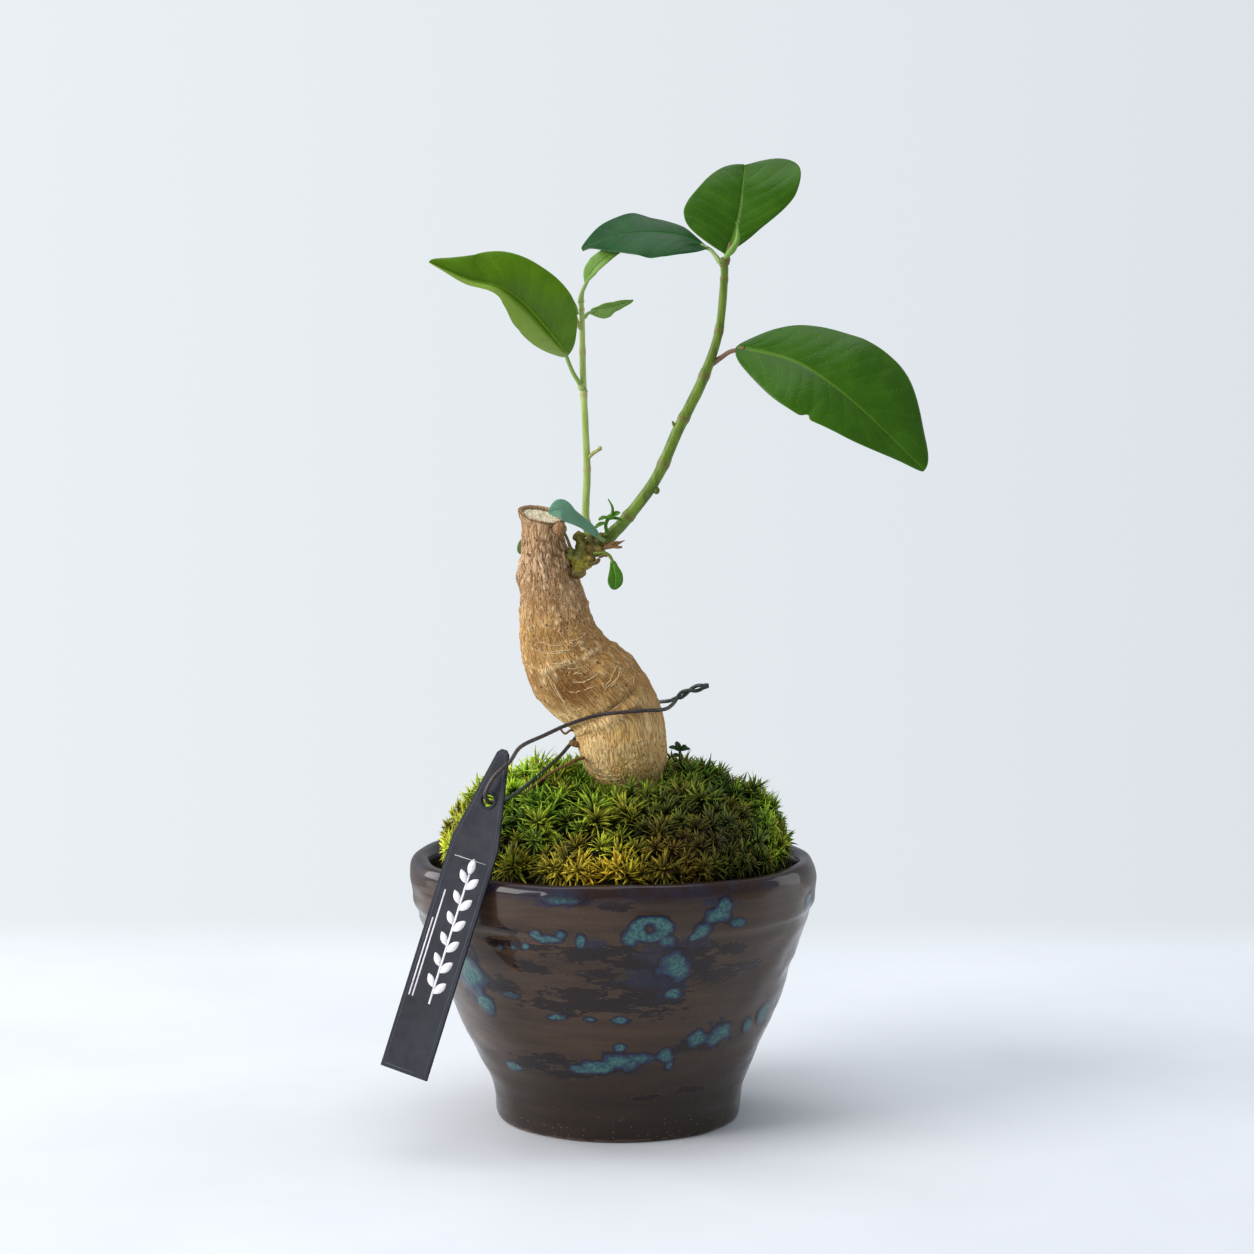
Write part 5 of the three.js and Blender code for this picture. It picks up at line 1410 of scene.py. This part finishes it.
def leaf_blade(rib, face, left, right, fold, rows, columns, veins, ripple, cup=(0, 0), lean=(0, 0),
               notch=None, painted_sheen_side=None, thickness=0.42, seed=0):
    """A thin closed blade with a midrib, side veins pressed into it and a waving edge."""
    u = (1 - np.cos(math.pi * np.linspace(0, 1, rows))) / 2
    v = np.linspace(-1, 1, 2 * columns + 1)
    v = np.sign(v) * np.abs(v) ** 1.15
    u, v = (a.ravel() for a in np.meshgrid(u, v, indexing="ij"))
    side = (v >= 0).astype(int)
    inner = np.clip(np.abs(v), 0, 1)
    tangent = unit(curve_point(rib, u + 1e-3) - curve_point(rib, u - 1e-3))
    base, tip = np.array(face[0], float), np.array(face[1], float)
    normal = base + (tip - base) * u[:, None]
    normal = unit(normal - tangent * np.sum(normal * tangent, axis=1, keepdims=True))
    across = np.cross(tangent, normal)
    share = np.arccos(1 - 2 * u) / math.pi
    widths = np.where(side == 1, curve_point([0, *right, 0], share), curve_point([0, *left, 0], share))
    if notch:
        which, place, size, deep = notch
        widths = widths - deep * bump_at(u - place, size) * (side == which)
    fold, cup, lean = np.array(fold), np.array(cup), np.array(lean)
    reach = np.maximum(widths, 0.1) * np.abs(v)
    length = np.linalg.norm(np.diff(curve_point(rib, np.linspace(0, 1, 60)), axis=0), axis=1).sum()
    broad = max(*left, *right)
    turn = fold[side, 0] + (fold[side, 1] - fold[side, 0]) * u + cup[side] * (np.abs(v) - 0.5)
    turn = np.radians(turn)

    vein, puff = leaf_veins(u, v, side, veins, length, broad, seed)
    midrib = bump_at(reach, (0.03 * broad + 0.12) * (1 - 0.75 * u))
    spot = np.stack([u * length / (0.5 * broad), side * 9.0, u * 0 + seed], -1)
    wave = 1.3 * ripple * inner ** 2 * noise(spot, 1, 92)
    skin = thickness / 2 * (1 - 0.75 * inner ** 6)
    middle = curve_point(rib, u) + across * (np.where(side == 1, 1, -1) * reach * np.cos(turn))[:, None]
    middle = middle + tangent * (lean[side] * reach * inner)[:, None]
    lift = reach * np.sin(turn) + wave + puff
    top = middle + normal * (lift + skin - 0.004 * broad * vein - 0.3 * thickness * midrib)[:, None]
    under = middle + normal * (lift - skin - 0.009 * broad * vein - 0.09 * broad ** 0.7 * midrib)[:, None]
    # The last value marks one folded half whose paler tint is a painted reflection.
    return closed_slab(
        np.concatenate([top, under]), rows, 2 * columns + 1,
        upper=np.repeat([1.0, 0.0], len(u)), vein=np.tile(vein, 2), rib=np.tile(midrib, 2),
        margin=np.tile(smooth_step(inner, 0.93, 1.0), 2),
        pale_half=np.tile((side == painted_sheen_side) * smooth_step(inner, 0.05, 0.3), 2))


STALK_SUNK = 1.1             # how far a petiole runs into its stem


def make_leaf(name, spec, material, slot):
    spec = dict(spec)
    stalk, stalk_r = spec.pop("stalk"), spec.pop("stalk_r")
    radii = [stalk_r * (1 - 0.3 * i / len(stalk)) for i in range(len(stalk))]
    radii[0] = stalk_r * 1.25
    root = np.array(stalk[0]) - STALK_SUNK * unit(np.array(stalk[1]) - stalk[0])
    petiole = tube([root, *stalk], [stalk_r, *radii], 18, 44, stalk=1.0)
    blade = leaf_blade(seed=len(name), **spec)
    piece(name + "_blade", join([blade, petiole]), material, slot, name)


def make_leaves():
    """All nine leaves; returns the materials that the buds share with them."""
    deep = leaf_material("leaf_deep", srgb(46, 88, 0), srgb(62, 108, 0), srgb(104, 144, 34),
                         srgb(104, 138, 70), srgb(128, 98, 76), 0.26)
    light = leaf_material("leaf_light", srgb(80, 120, 0), srgb(102, 144, 6), srgb(140, 176, 54),
                          srgb(140, 170, 84), srgb(128, 160, 76), 0.3)
    bluish = leaf_material("leaf_bluish", srgb(8, 62, 16), srgb(20, 86, 30), srgb(60, 112, 60),
                           srgb(96, 128, 72), srgb(150, 176, 110), 0.3)
    pale = leaf_material("leaf_pale", srgb(112, 152, 62), srgb(138, 174, 82), srgb(168, 194, 118),
                         srgb(140, 168, 98), srgb(140, 166, 92), 0.42)
    waxy = leaf_material("leaf_waxy", srgb(76, 124, 88), srgb(100, 148, 114), srgb(140, 184, 156),
                         srgb(104, 146, 112), srgb(120, 150, 88), 0.5, 0.18)
    young = leaf_material("leaf_young", srgb(60, 108, 14), srgb(84, 134, 22), srgb(120, 160, 48),
                          srgb(110, 144, 60), srgb(110, 132, 40), 0.38)
    wearing = {
        "leaf_right": (deep, "leaf"), "leaf_left": (light, "leaf"), "leaf_top_right": (deep, "leaf"),
        "leaf_top_left": (bluish, "leaf"), "leaf_hanging": (young, "leaf"),
        "leaf_small_back": (pale, "young_leaf"), "leaf_small_right": (pale, "young_leaf"),
        "leaf_back_low": (pale, "young_leaf"), "leaf_low_front": (waxy, "waxy_leaf"),
    }
    for name, (material, slot) in wearing.items():
        make_leaf(name, LEAVES[name], material, slot)
    return pale, young


# ---------------------------------------------------------------- buds, scales, weed, straw
SPEAR_BUD = [[22.3, -1.6, 179.3], [24, -2, 181.2], [24.9, -2.3, 183.2], [25, -2.6, 185.6]]
STIPULE = [[-7.9, 0.4, 167.9], [-8.3, -0.2, 169.4], [-9, -0.6, 171.2]]
STRAW = [[-6.8, -3.4, 76], [-8.2, -7.4, 76.2], [-10.4, -11.8, 75.6], [-13.8, -15.4, 74.3],
         [-18.5, -19.8, 71.1]]


def small_leaf(start, end, face, half, seed):
    """A small simple blade from start to end."""
    start, end = np.array(start, float), np.array(end, float)
    middle = (start + end) / 2 + 0.12 * np.linalg.norm(end - start) * unit(face)
    widths = [half * k for k in (0.65, 1, 0.95, 0.55)]
    return leaf_blade([start, middle, end], [face, face], widths, widths, [[14, 14], [14, 14]],
                      28, 8, 4, 0.05, thickness=0.2, seed=seed)


def make_buds(pale):
    bud = tube(SPEAR_BUD, [0.35, 0.72, 0.55, 0.12], 20, 60,
               swell=lambda t, a: 1 + 0.08 * np.sin(2 * a + 9 * t), upper=1.0)
    hook = tube([[25, -2.6, 185.4], [24.9, -2.8, 186.2], [24.4, -3, 186.6]], [0.16, 0.12, 0.05],
                10, 12, upper=1.0)
    piece("spear_bud_tip", join([bud, hook]), pale, "young_leaf", "spear_bud")
    stipule = tube(STIPULE, [0.3, 0.32, 0.1], 12, 30, upper=1.0)
    piece("stipule_blade", stipule, pale, "young_leaf", "stipule")


def make_young_shoot(young):
    """A tuft of small leaves on a short stalk, where the shoots leave the graft."""
    stalk = tube([[-1.8, -1.9, 122.9], [-2.1, -2.6, 124.4], [-1.6, -3, 126]], [0.42, 0.36, 0.4],
                 14, 24, upper=1.0)
    hook = tube([[-0.8, -3.4, 126.4], [-0.7, -3.8, 128.2], [-1.6, -4, 130]], [0.36, 0.26, 0.1],
                12, 30, upper=1.0)
    curls = [
        small_leaf([-1.7, -2.8, 125.6], [0.9, -3.6, 127.2], [0.2, -0.7, 0.7], 0.7, 1),
        small_leaf([-1.5, -2.9, 126], [-3.6, -3.4, 125.6], [-0.2, -0.6, 0.8], 0.6, 2),
        small_leaf([-1.2, -3, 125.8], [1.4, -3.4, 125.4], [0.3, -0.5, 0.8], 0.55, 3),
        small_leaf([-1.9, -2.6, 125], [-4.6, -2.8, 123.6], [-0.4, -0.6, 0.7], 0.6, 4),
        ball([-1.1, -3.1, 126.2], [0.85, 0.7, 0.6], upper=1.0),
    ]
    piece("young_shoot_tip", join([stalk, hook, *curls]), young, "young_leaf", "young_shoot")


def make_dry_bits():
    dry = dry_material()
    scales = [
        tube([[-2.3, -2.4, 119.9], [-0.6, -3.2, 120.3], [1.8, -3.8, 121.4]], [0.5, 0.42, 0.08], 14, 30,
             swell=lambda t, a: 1 + 0.25 * np.sin(3 * a)),
        tube([[-1, -3.1, 120.2], [0.2, -3.5, 120], [1.3, -3.8, 120]], [0.32, 0.34, 0.2], 12, 24),
        tube([[-1.6, -2.8, 120.4], [-0.2, -3.6, 121], [0.8, -4, 121.2]], [0.3, 0.24, 0.06], 10, 20),
    ]
    piece("dry_scale_tips", join(scales), dry, "dry_plant", "dry_scale")
    straw = tube(STRAW, [0.35, 0.35, 0.32, 0.28, 0.2], 12, 90,
                 swell=lambda t, a: 1 + 0.12 * np.sin(40 * t) * np.sin(a))
    piece("dry_straw", straw, dry, "dry_plant", "straw")


def make_weed():
    """A sprout with five leaflets in the moss, right of the trunk."""
    sprig = [tube([[13.6, 4, 71], [13.4, 4, 74.6], [13.4, 4, 76.7]], [0.34, 0.25, 0.22], 12, 30, stalk=0.4)]
    leaflets = [
        ([13.3, 4, 76.5], [11.1, 3.6, 77.3]), ([13.4, 4, 76.6], [12.6, 4.8, 78.3]),
        ([13.4, 4, 76.5], [15.6, 3.8, 76.9]), ([13.4, 4, 76.3], [14.8, 3.2, 77.7]),
        ([13.4, 4, 75.3], [11.8, 3.4, 75.5]),
    ]
    sprig += [small_leaf(a, b, [0, -0.6, 0.8], 0.62, 10 + i) for i, (a, b) in enumerate(leaflets)]
    dusky = leaf_material("leaf_dusky", srgb(34, 66, 26), srgb(50, 88, 34), srgb(80, 112, 56),
                          srgb(60, 88, 44), srgb(60, 70, 30), 0.5)
    piece("weed", join(sprig), dusky, "leaf", "weed_sprout")


# ---------------------------------------------------------------- label
TAG_FOOT = np.array([-41.9, -39, 18.1])
TAG_TIP = np.array([-22.1, -29.4, 81.3])
TAG_YAW = math.radians(25)
TAG_WIDTH, TAG_LENGTH, TAG_THICKNESS = 10.6, 67, 0.6
SHOULDER = TAG_LENGTH - 19.5          # where the label starts to narrow
TAG_TIP_HALF = 1.3
TAG_SOFT_EDGE = 0.1
TAG_HOLE_R = 1.35
TAG_HOLE_Y = TAG_LENGTH - 10.6
HOLE_SIDES = 48
EYE_R, EYE_SECTION_R, EYE_SECTION_SIDES = 1.62, 0.3, 10
PRINT_RISE, PRINT_SUNK = 0.03, 0.07   # of the print above and below the label's face
SPRIG_X, SPRIG_LOW, SPRIG_HIGH = 0.9, 14.5, 41.5
SPRIG_PAIRS = 6


def tag_axes():
    along = unit(TAG_TIP - TAG_FOOT)
    out = np.array([-math.sin(TAG_YAW), -math.cos(TAG_YAW), 0])
    out = unit(out - along * (out @ along))
    return np.cross(along, out), along, out


def on_tag(points):
    """(across, along, out) on the label to millimetres from the pot's axis."""
    return TAG_FOOT + np.asarray(points, float) @ np.array(tag_axes())


def tag_outline(inset):
    """The label's edge, corners clockwise from the foot, moved in by inset."""
    half = TAG_WIDTH / 2 - inset
    tip = TAG_TIP_HALF - 0.6 * inset
    return [(-half, inset), (-half, SHOULDER - 0.4 * inset), (-tip, TAG_LENGTH - 0.8 - inset),
            (-0.4 * tip, TAG_LENGTH - inset), (0.4 * tip, TAG_LENGTH - inset),
            (tip, TAG_LENGTH - 0.8 - inset), (half, SHOULDER - 0.4 * inset), (half, inset)]


def tag_plate():
    """The flat label with a soft edge and a hole."""
    curve = bpy.data.curves.new("tag_plate", "CURVE")
    curve.dimensions = "2D"
    curve.fill_mode = "BOTH"
    curve.extrude = TAG_THICKNESS / 2 - TAG_SOFT_EDGE
    curve.bevel_depth = TAG_SOFT_EDGE
    curve.bevel_resolution = 2
    hole = [(TAG_HOLE_R * math.cos(a), TAG_HOLE_Y + TAG_HOLE_R * math.sin(a))
            for a in np.linspace(0, 2 * math.pi, HOLE_SIDES, endpoint=False)]
    for loop in (tag_outline(TAG_SOFT_EDGE), hole):
        spline = curve.splines.new("POLY")
        spline.points.add(len(loop) - 1)
        spline.points.foreach_set("co", [c for x, y in loop for c in (x, y, 0, 1)])
        spline.use_cyclic_u = True
    holder = add_object("tag_plate", curve)
    evaluated = holder.evaluated_get(bpy.context.evaluated_depsgraph_get())
    points, quads, triangles = read_mesh(bpy.data.meshes.new_from_object(evaluated))
    bpy.data.objects.remove(holder)
    return Shape(on_tag(points), quads, triangles).outward()


def ribbon(line, half_width, ink):
    """A printed line on the label's face, as a thin closed strip."""
    line = np.asarray(line, float)
    ahead = unit(np.gradient(line, axis=0))
    across = np.stack([ahead[:, 1], -ahead[:, 0]], -1) * np.broadcast_to(half_width, len(line))[:, None]
    rows = np.stack([line + across, line - across], 1).reshape(-1, 2)
    heights = np.full((len(rows), 1), TAG_THICKNESS / 2 + PRINT_RISE)
    top = np.concatenate([rows, heights], -1)
    low = top - [0, 0, PRINT_RISE + PRINT_SUNK]
    points = on_tag(np.concatenate([top, low]))
    return closed_slab(points, len(line), 2, ink=np.full(len(points), float(ink)))


def printed_leaf(start, heading, length):
    """A filled pointed leaf, as a ribbon that swells in the middle."""
    t = np.linspace(0, 1, 13)
    line = np.array(start) + np.outer(t * length, [math.cos(heading), math.sin(heading)])
    return ribbon(line, 0.02 + 0.24 * length * np.sin(math.pi * t) ** 0.8, 1)


def tag_print():
    """A plain sprig and ruled lines printed in white, and a faint inner border."""
    marks = [ribbon([(SPRIG_X, SPRIG_LOW), (SPRIG_X, SPRIG_HIGH)], 0.22, 1)]
    for i in range(SPRIG_PAIRS):
        y = SPRIG_LOW + 2.2 + 4.3 * i
        marks.append(printed_leaf((SPRIG_X + 0.2, y), math.radians(52), 3.4))
        marks.append(printed_leaf((SPRIG_X - 0.2, y + 1.2), math.radians(128), 3.0))
    marks.append(printed_leaf((SPRIG_X, SPRIG_HIGH - 0.4), math.radians(90), 3.4))
    marks += [ribbon([(x, 15), (x, y)], 0.16, 0.9) for x, y in ((-3.1, 37), (-3.9, 31))]
    marks.append(ribbon([(-3.4, SHOULDER - 3.4), (3.6, SHOULDER - 3.4)], 0.06, 0.75))
    corners = tag_outline(0.75)
    marks += [ribbon([a, b], 0.07, 0.0) for a, b in zip(corners, corners[1:] + corners[:1])]
    return join(marks)


def eye_ring(height):
    """A moulded ring round the label's hole."""
    turn = np.linspace(0, 2 * math.pi, HOLE_SIDES + 1)
    x, y = EYE_R * np.cos(turn), TAG_HOLE_Y + EYE_R * np.sin(turn)
    path = on_tag(np.stack([x, y, turn * 0 + height], -1))
    radial = (path - on_tag([0, TAG_HOLE_Y, height])) / EYE_R
    section = np.linspace(0, 2 * math.pi, EYE_SECTION_SIDES, endpoint=False)[None, :, None]
    round_it = radial[:-1, None] * np.cos(section) + tag_axes()[2] * np.sin(section)
    ring = path[:-1, None] + EYE_SECTION_R * round_it
    quads = grid_quads(HOLE_SIDES + 1, EYE_SECTION_SIDES, True) % (HOLE_SIDES * EYE_SECTION_SIDES)
    return Shape(ring.reshape(-1, 3), quads).outward()


def make_tag():
    eye_z = TAG_THICKNESS / 2 - 0.05
    body = join([tag_plate(), eye_ring(eye_z), eye_ring(-eye_z)])
    made = piece("tag_plate", body, tag_material(), "label", "tag")
    for face in made.data.polygons:    # the flat faces of the plate stay flat
        face.use_smooth = len(face.vertices) == 4 and face.area < 1e-6
    piece("tag_print", tag_print(), ink_material(), "label", "tag")


# ---------------------------------------------------------------- tie wire
WIRE_R = 0.4
WIRE = np.array([
    # free end in the twist, round the front of the trunk, through the label, back behind it
    [18.5, -0.6, 90.3], [16, -0.5, 89.9], [13.6, -0.8, 88.5], [11.8, -1.6, 87], [9.9, -5.1, 86.4],
    [5, -9.2, 86.6], [-3.2, -11.6, 86.1], [-9.5, -15, 84.6], [-14.5, -20.4, 83], [-18.9, -26.6, 81.6],
    [-21, -31.4, 79.2], [-24, -32.2, 76.4], [-25.8, -32.3, 73], [-25.4, -31.3, 71.4], [-24.6, -29.8, 70.8],
    [-22.9, -26.5, 70.5], [-20.3, -22, 71.3], [-17.4, -17, 72.9], [-14.6, -11, 74.6], [-11.6, -4.5, 76.6],
    [-9.4, 2, 78.4], [-6.2, 8.8, 81], [0.5, 11.6, 84], [7.5, 9, 86], [11.4, 3.6, 87.2],
    [13, 1.1, 88.5], [15.2, 0.8, 90], [18, 0.7, 90.8]])
WIRE_ROWS = 520
TWIST_FROM_X = 12.2
TWIST_AXIS = [(12.2, 88), (15.6, 89.9), (18.5, 90.6)]   # (x, z)
TWIST_R = 0.52


def make_wire():
    t = np.linspace(0, 1, WIRE_ROWS)
    path = curve_point(WIRE, t)
    twist = smooth_step(path[:, 0], TWIST_FROM_X - 0.6, TWIST_FROM_X + 1.6) * (path[:, 2] > 84)
    turn = (path[:, 0] - TWIST_FROM_X) * 0.95 + np.where(t > 0.5, math.pi, 0)
    core = path.copy()
    core[:, 1] = 0.05
    core[:, 2] = np.interp(path[:, 0], *zip(*TWIST_AXIS))
    wound = core + TWIST_R * np.stack([turn * 0, np.cos(turn), np.sin(turn)], -1)
    path = path + (wound - path) * twist[:, None]
    ribs = tube(path, np.full(WIRE_ROWS, WIRE_R), 14, WIRE_ROWS, (0.2, 0.1, 0.97),
                lambda tt, angle: 1 + 0.05 * np.sin(2 * angle + 900 * tt))
    along = ribs.values.pop("along")
    ribs.values["green"] = np.clip(smooth_step(along, 0.13, 0.09) + smooth_step(along, 0.5, 0.62), 0, 1)
    tip = tube([[17.6, 0, 90.4], [18.8, 0, 90.7], [19.4, 0, 90.75]], [0.62, 0.6, 0.45],
               14, 14, green=1.0)
    tip.values.pop("along")
    piece("tie_wire", join([ribs, tip]), wire_material(), "wire", "tag_wire")


# ---------------------------------------------------------------- kept CAD parts
def dress_frame():
    """The soil and the drain net keep their CAD shape and get only a material."""
    for node, material in (("soil", soil_material()), ("drain_net", net_material())):
        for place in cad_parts[node].material_slots:
            place.material = material


# ---------------------------------------------------------------- camera, light and floor
CAMERA_PLACE = (2.3, -612, 162)
CAMERA_PITCH = 5.5
CAMERA_LENS = 84.7
TABLE_BACK = 190             # the table's far edge, behind the pot
TABLE_REACH = 1500
LIGHTS = [                   # name, place, size in mm, watts, colour
    ("window", (-1700, -700, 900), (1250, 1150), 36.5, (1.0, 0.99, 0.97)),
    ("left_glow", (-1300, 900, 480), (700, 900), 7, (0.97, 0.98, 1.0)),
    ("top_fill", (-100, 100, 1400), (1300, 1300), 9, (0.97, 0.98, 1.0)),
    ("right_glow", (900, 420, 260), (400, 900), 1.6, (0.95, 0.98, 1.0)),
]
LIGHTS_AIM = (0, 0, 80)
FILL_COLOUR, FILL_STRENGTH = (0.80, 0.86, 0.93, 1), 0.43
# The wall is lighter on the left, towards the window, and darker on the right: painted light falling off
# across the backdrop.
WALL_LEFT, WALL_RIGHT = (0.835, 0.875, 0.905, 1), (0.72, 0.765, 0.81, 1)
WALL_SPREAD = 0.22           # how far each way the wall's change of tone reaches


def make_camera():
    data = bpy.data.cameras.new("camera")
    data.lens = CAMERA_LENS
    data.sensor_width = 36
    data.clip_start = 0.01
    camera = add_object("camera", data)
    camera.location = to_frame(CAMERA_PLACE)
    camera.rotation_euler = (math.radians(90 - CAMERA_PITCH), 0, 0)
    bpy.context.scene.camera = camera


def soft_light(name, place, size, watts, colour):
    data = bpy.data.lights.new(name, "AREA")
    data.shape = "RECTANGLE"
    data.size, data.size_y = size[0] * MM, size[1] * MM
    data.energy = watts
    data.color = colour
    light = add_object(name, data)
    light.location = to_frame(place)
    aim = Vector(to_frame(LIGHTS_AIM)) - light.location
    light.rotation_euler = aim.to_track_quat("-Z", "Y").to_euler()


def make_floor():
    """A pale table that fades into the wall behind the plant."""
    g = Graph("table")
    y = g.add("ShaderNodeSeparateXYZ", {"Vector": g.place}).outputs["Y"]
    base = g.mix(g.step(g.noise(60, 3), 0.35, 0.65), (0.80, 0.82, 0.86), (0.83, 0.85, 0.89))
    g.finish(base, 0.6, Specular_IOR_Level=0.2)
    clear = g.add("ShaderNodeBsdfTransparent")
    fade = g.step(y, (TABLE_BACK - 45) * MM, (TABLE_BACK + 30) * MM)
    blend = g.add("ShaderNodeMixShader")
    g.feed(blend.inputs[0], fade)
    g.feed(blend.inputs[1], g.shader.outputs[0])
    g.feed(blend.inputs[2], clear.outputs[0])
    g.feed(g.tree.nodes["Material Output"].inputs["Surface"], blend.outputs[0])
    corners = to_frame([(x, y, 0) for x, y in (
        (-TABLE_REACH, -TABLE_REACH), (TABLE_REACH, -TABLE_REACH),
        (TABLE_REACH, TABLE_BACK + 40), (-TABLE_REACH, TABLE_BACK + 40))])
    mesh = bpy.data.meshes.new("table")
    mesh.from_pydata([tuple(c) for c in corners], [], [(0, 1, 2, 3)])
    mesh.materials.append(g.material)
    table = add_object("table", mesh)


def make_world():
    """A pale studio wall, painted lighter on the left than on the right: what the camera sees behind the
    plant, and a softer fill light.
    """
    world = bpy.data.worlds.new("studio")
    world.use_nodes = True
    tree = world.node_tree
    back = tree.nodes["Background"]
    back.inputs["Color"].default_value = FILL_COLOUR
    back.inputs["Strength"].default_value = FILL_STRENGTH
    across = tree.nodes.new("ShaderNodeSeparateXYZ")
    tree.links.new(tree.nodes.new("ShaderNodeTexCoord").outputs["Generated"], across.inputs[0])
    ramp = tree.nodes.new("ShaderNodeValToRGB")
    ramp.color_ramp.elements[0].color = WALL_LEFT
    ramp.color_ramp.elements[1].color = WALL_RIGHT
    shift = tree.nodes.new("ShaderNodeMapRange")
    shift.inputs["From Min"].default_value = -WALL_SPREAD
    shift.inputs["From Max"].default_value = WALL_SPREAD
    tree.links.new(across.outputs["X"], shift.inputs["Value"])
    tree.links.new(shift.outputs["Result"], ramp.inputs["Fac"])
    wall = tree.nodes.new("ShaderNodeBackground")
    tree.links.new(ramp.outputs["Color"], wall.inputs["Color"])
    seen = tree.nodes.new("ShaderNodeLightPath").outputs["Is Camera Ray"]
    blend = tree.nodes.new("ShaderNodeMixShader")
    tree.links.new(seen, blend.inputs[0])
    tree.links.new(back.outputs[0], blend.inputs[1])
    tree.links.new(wall.outputs[0], blend.inputs[2])
    tree.links.new(blend.outputs[0], tree.nodes["World Output"].inputs["Surface"])
    bpy.context.scene.world = world


def make_studio():
    make_camera()
    make_floor()
    make_world()
    for light in LIGHTS:
        soft_light(*light)
    bpy.context.scene.view_settings.view_transform = "Standard"


# ---------------------------------------------------------------- everything
make_studio()
dress_frame()
make_pot()
make_moss()
make_trunk()
make_union()
make_stems()
pale_leaf, young_leaf = make_leaves()
make_buds(pale_leaf)
make_young_shoot(young_leaf)
make_dry_bits()
make_weed()
make_tag()
make_wire()
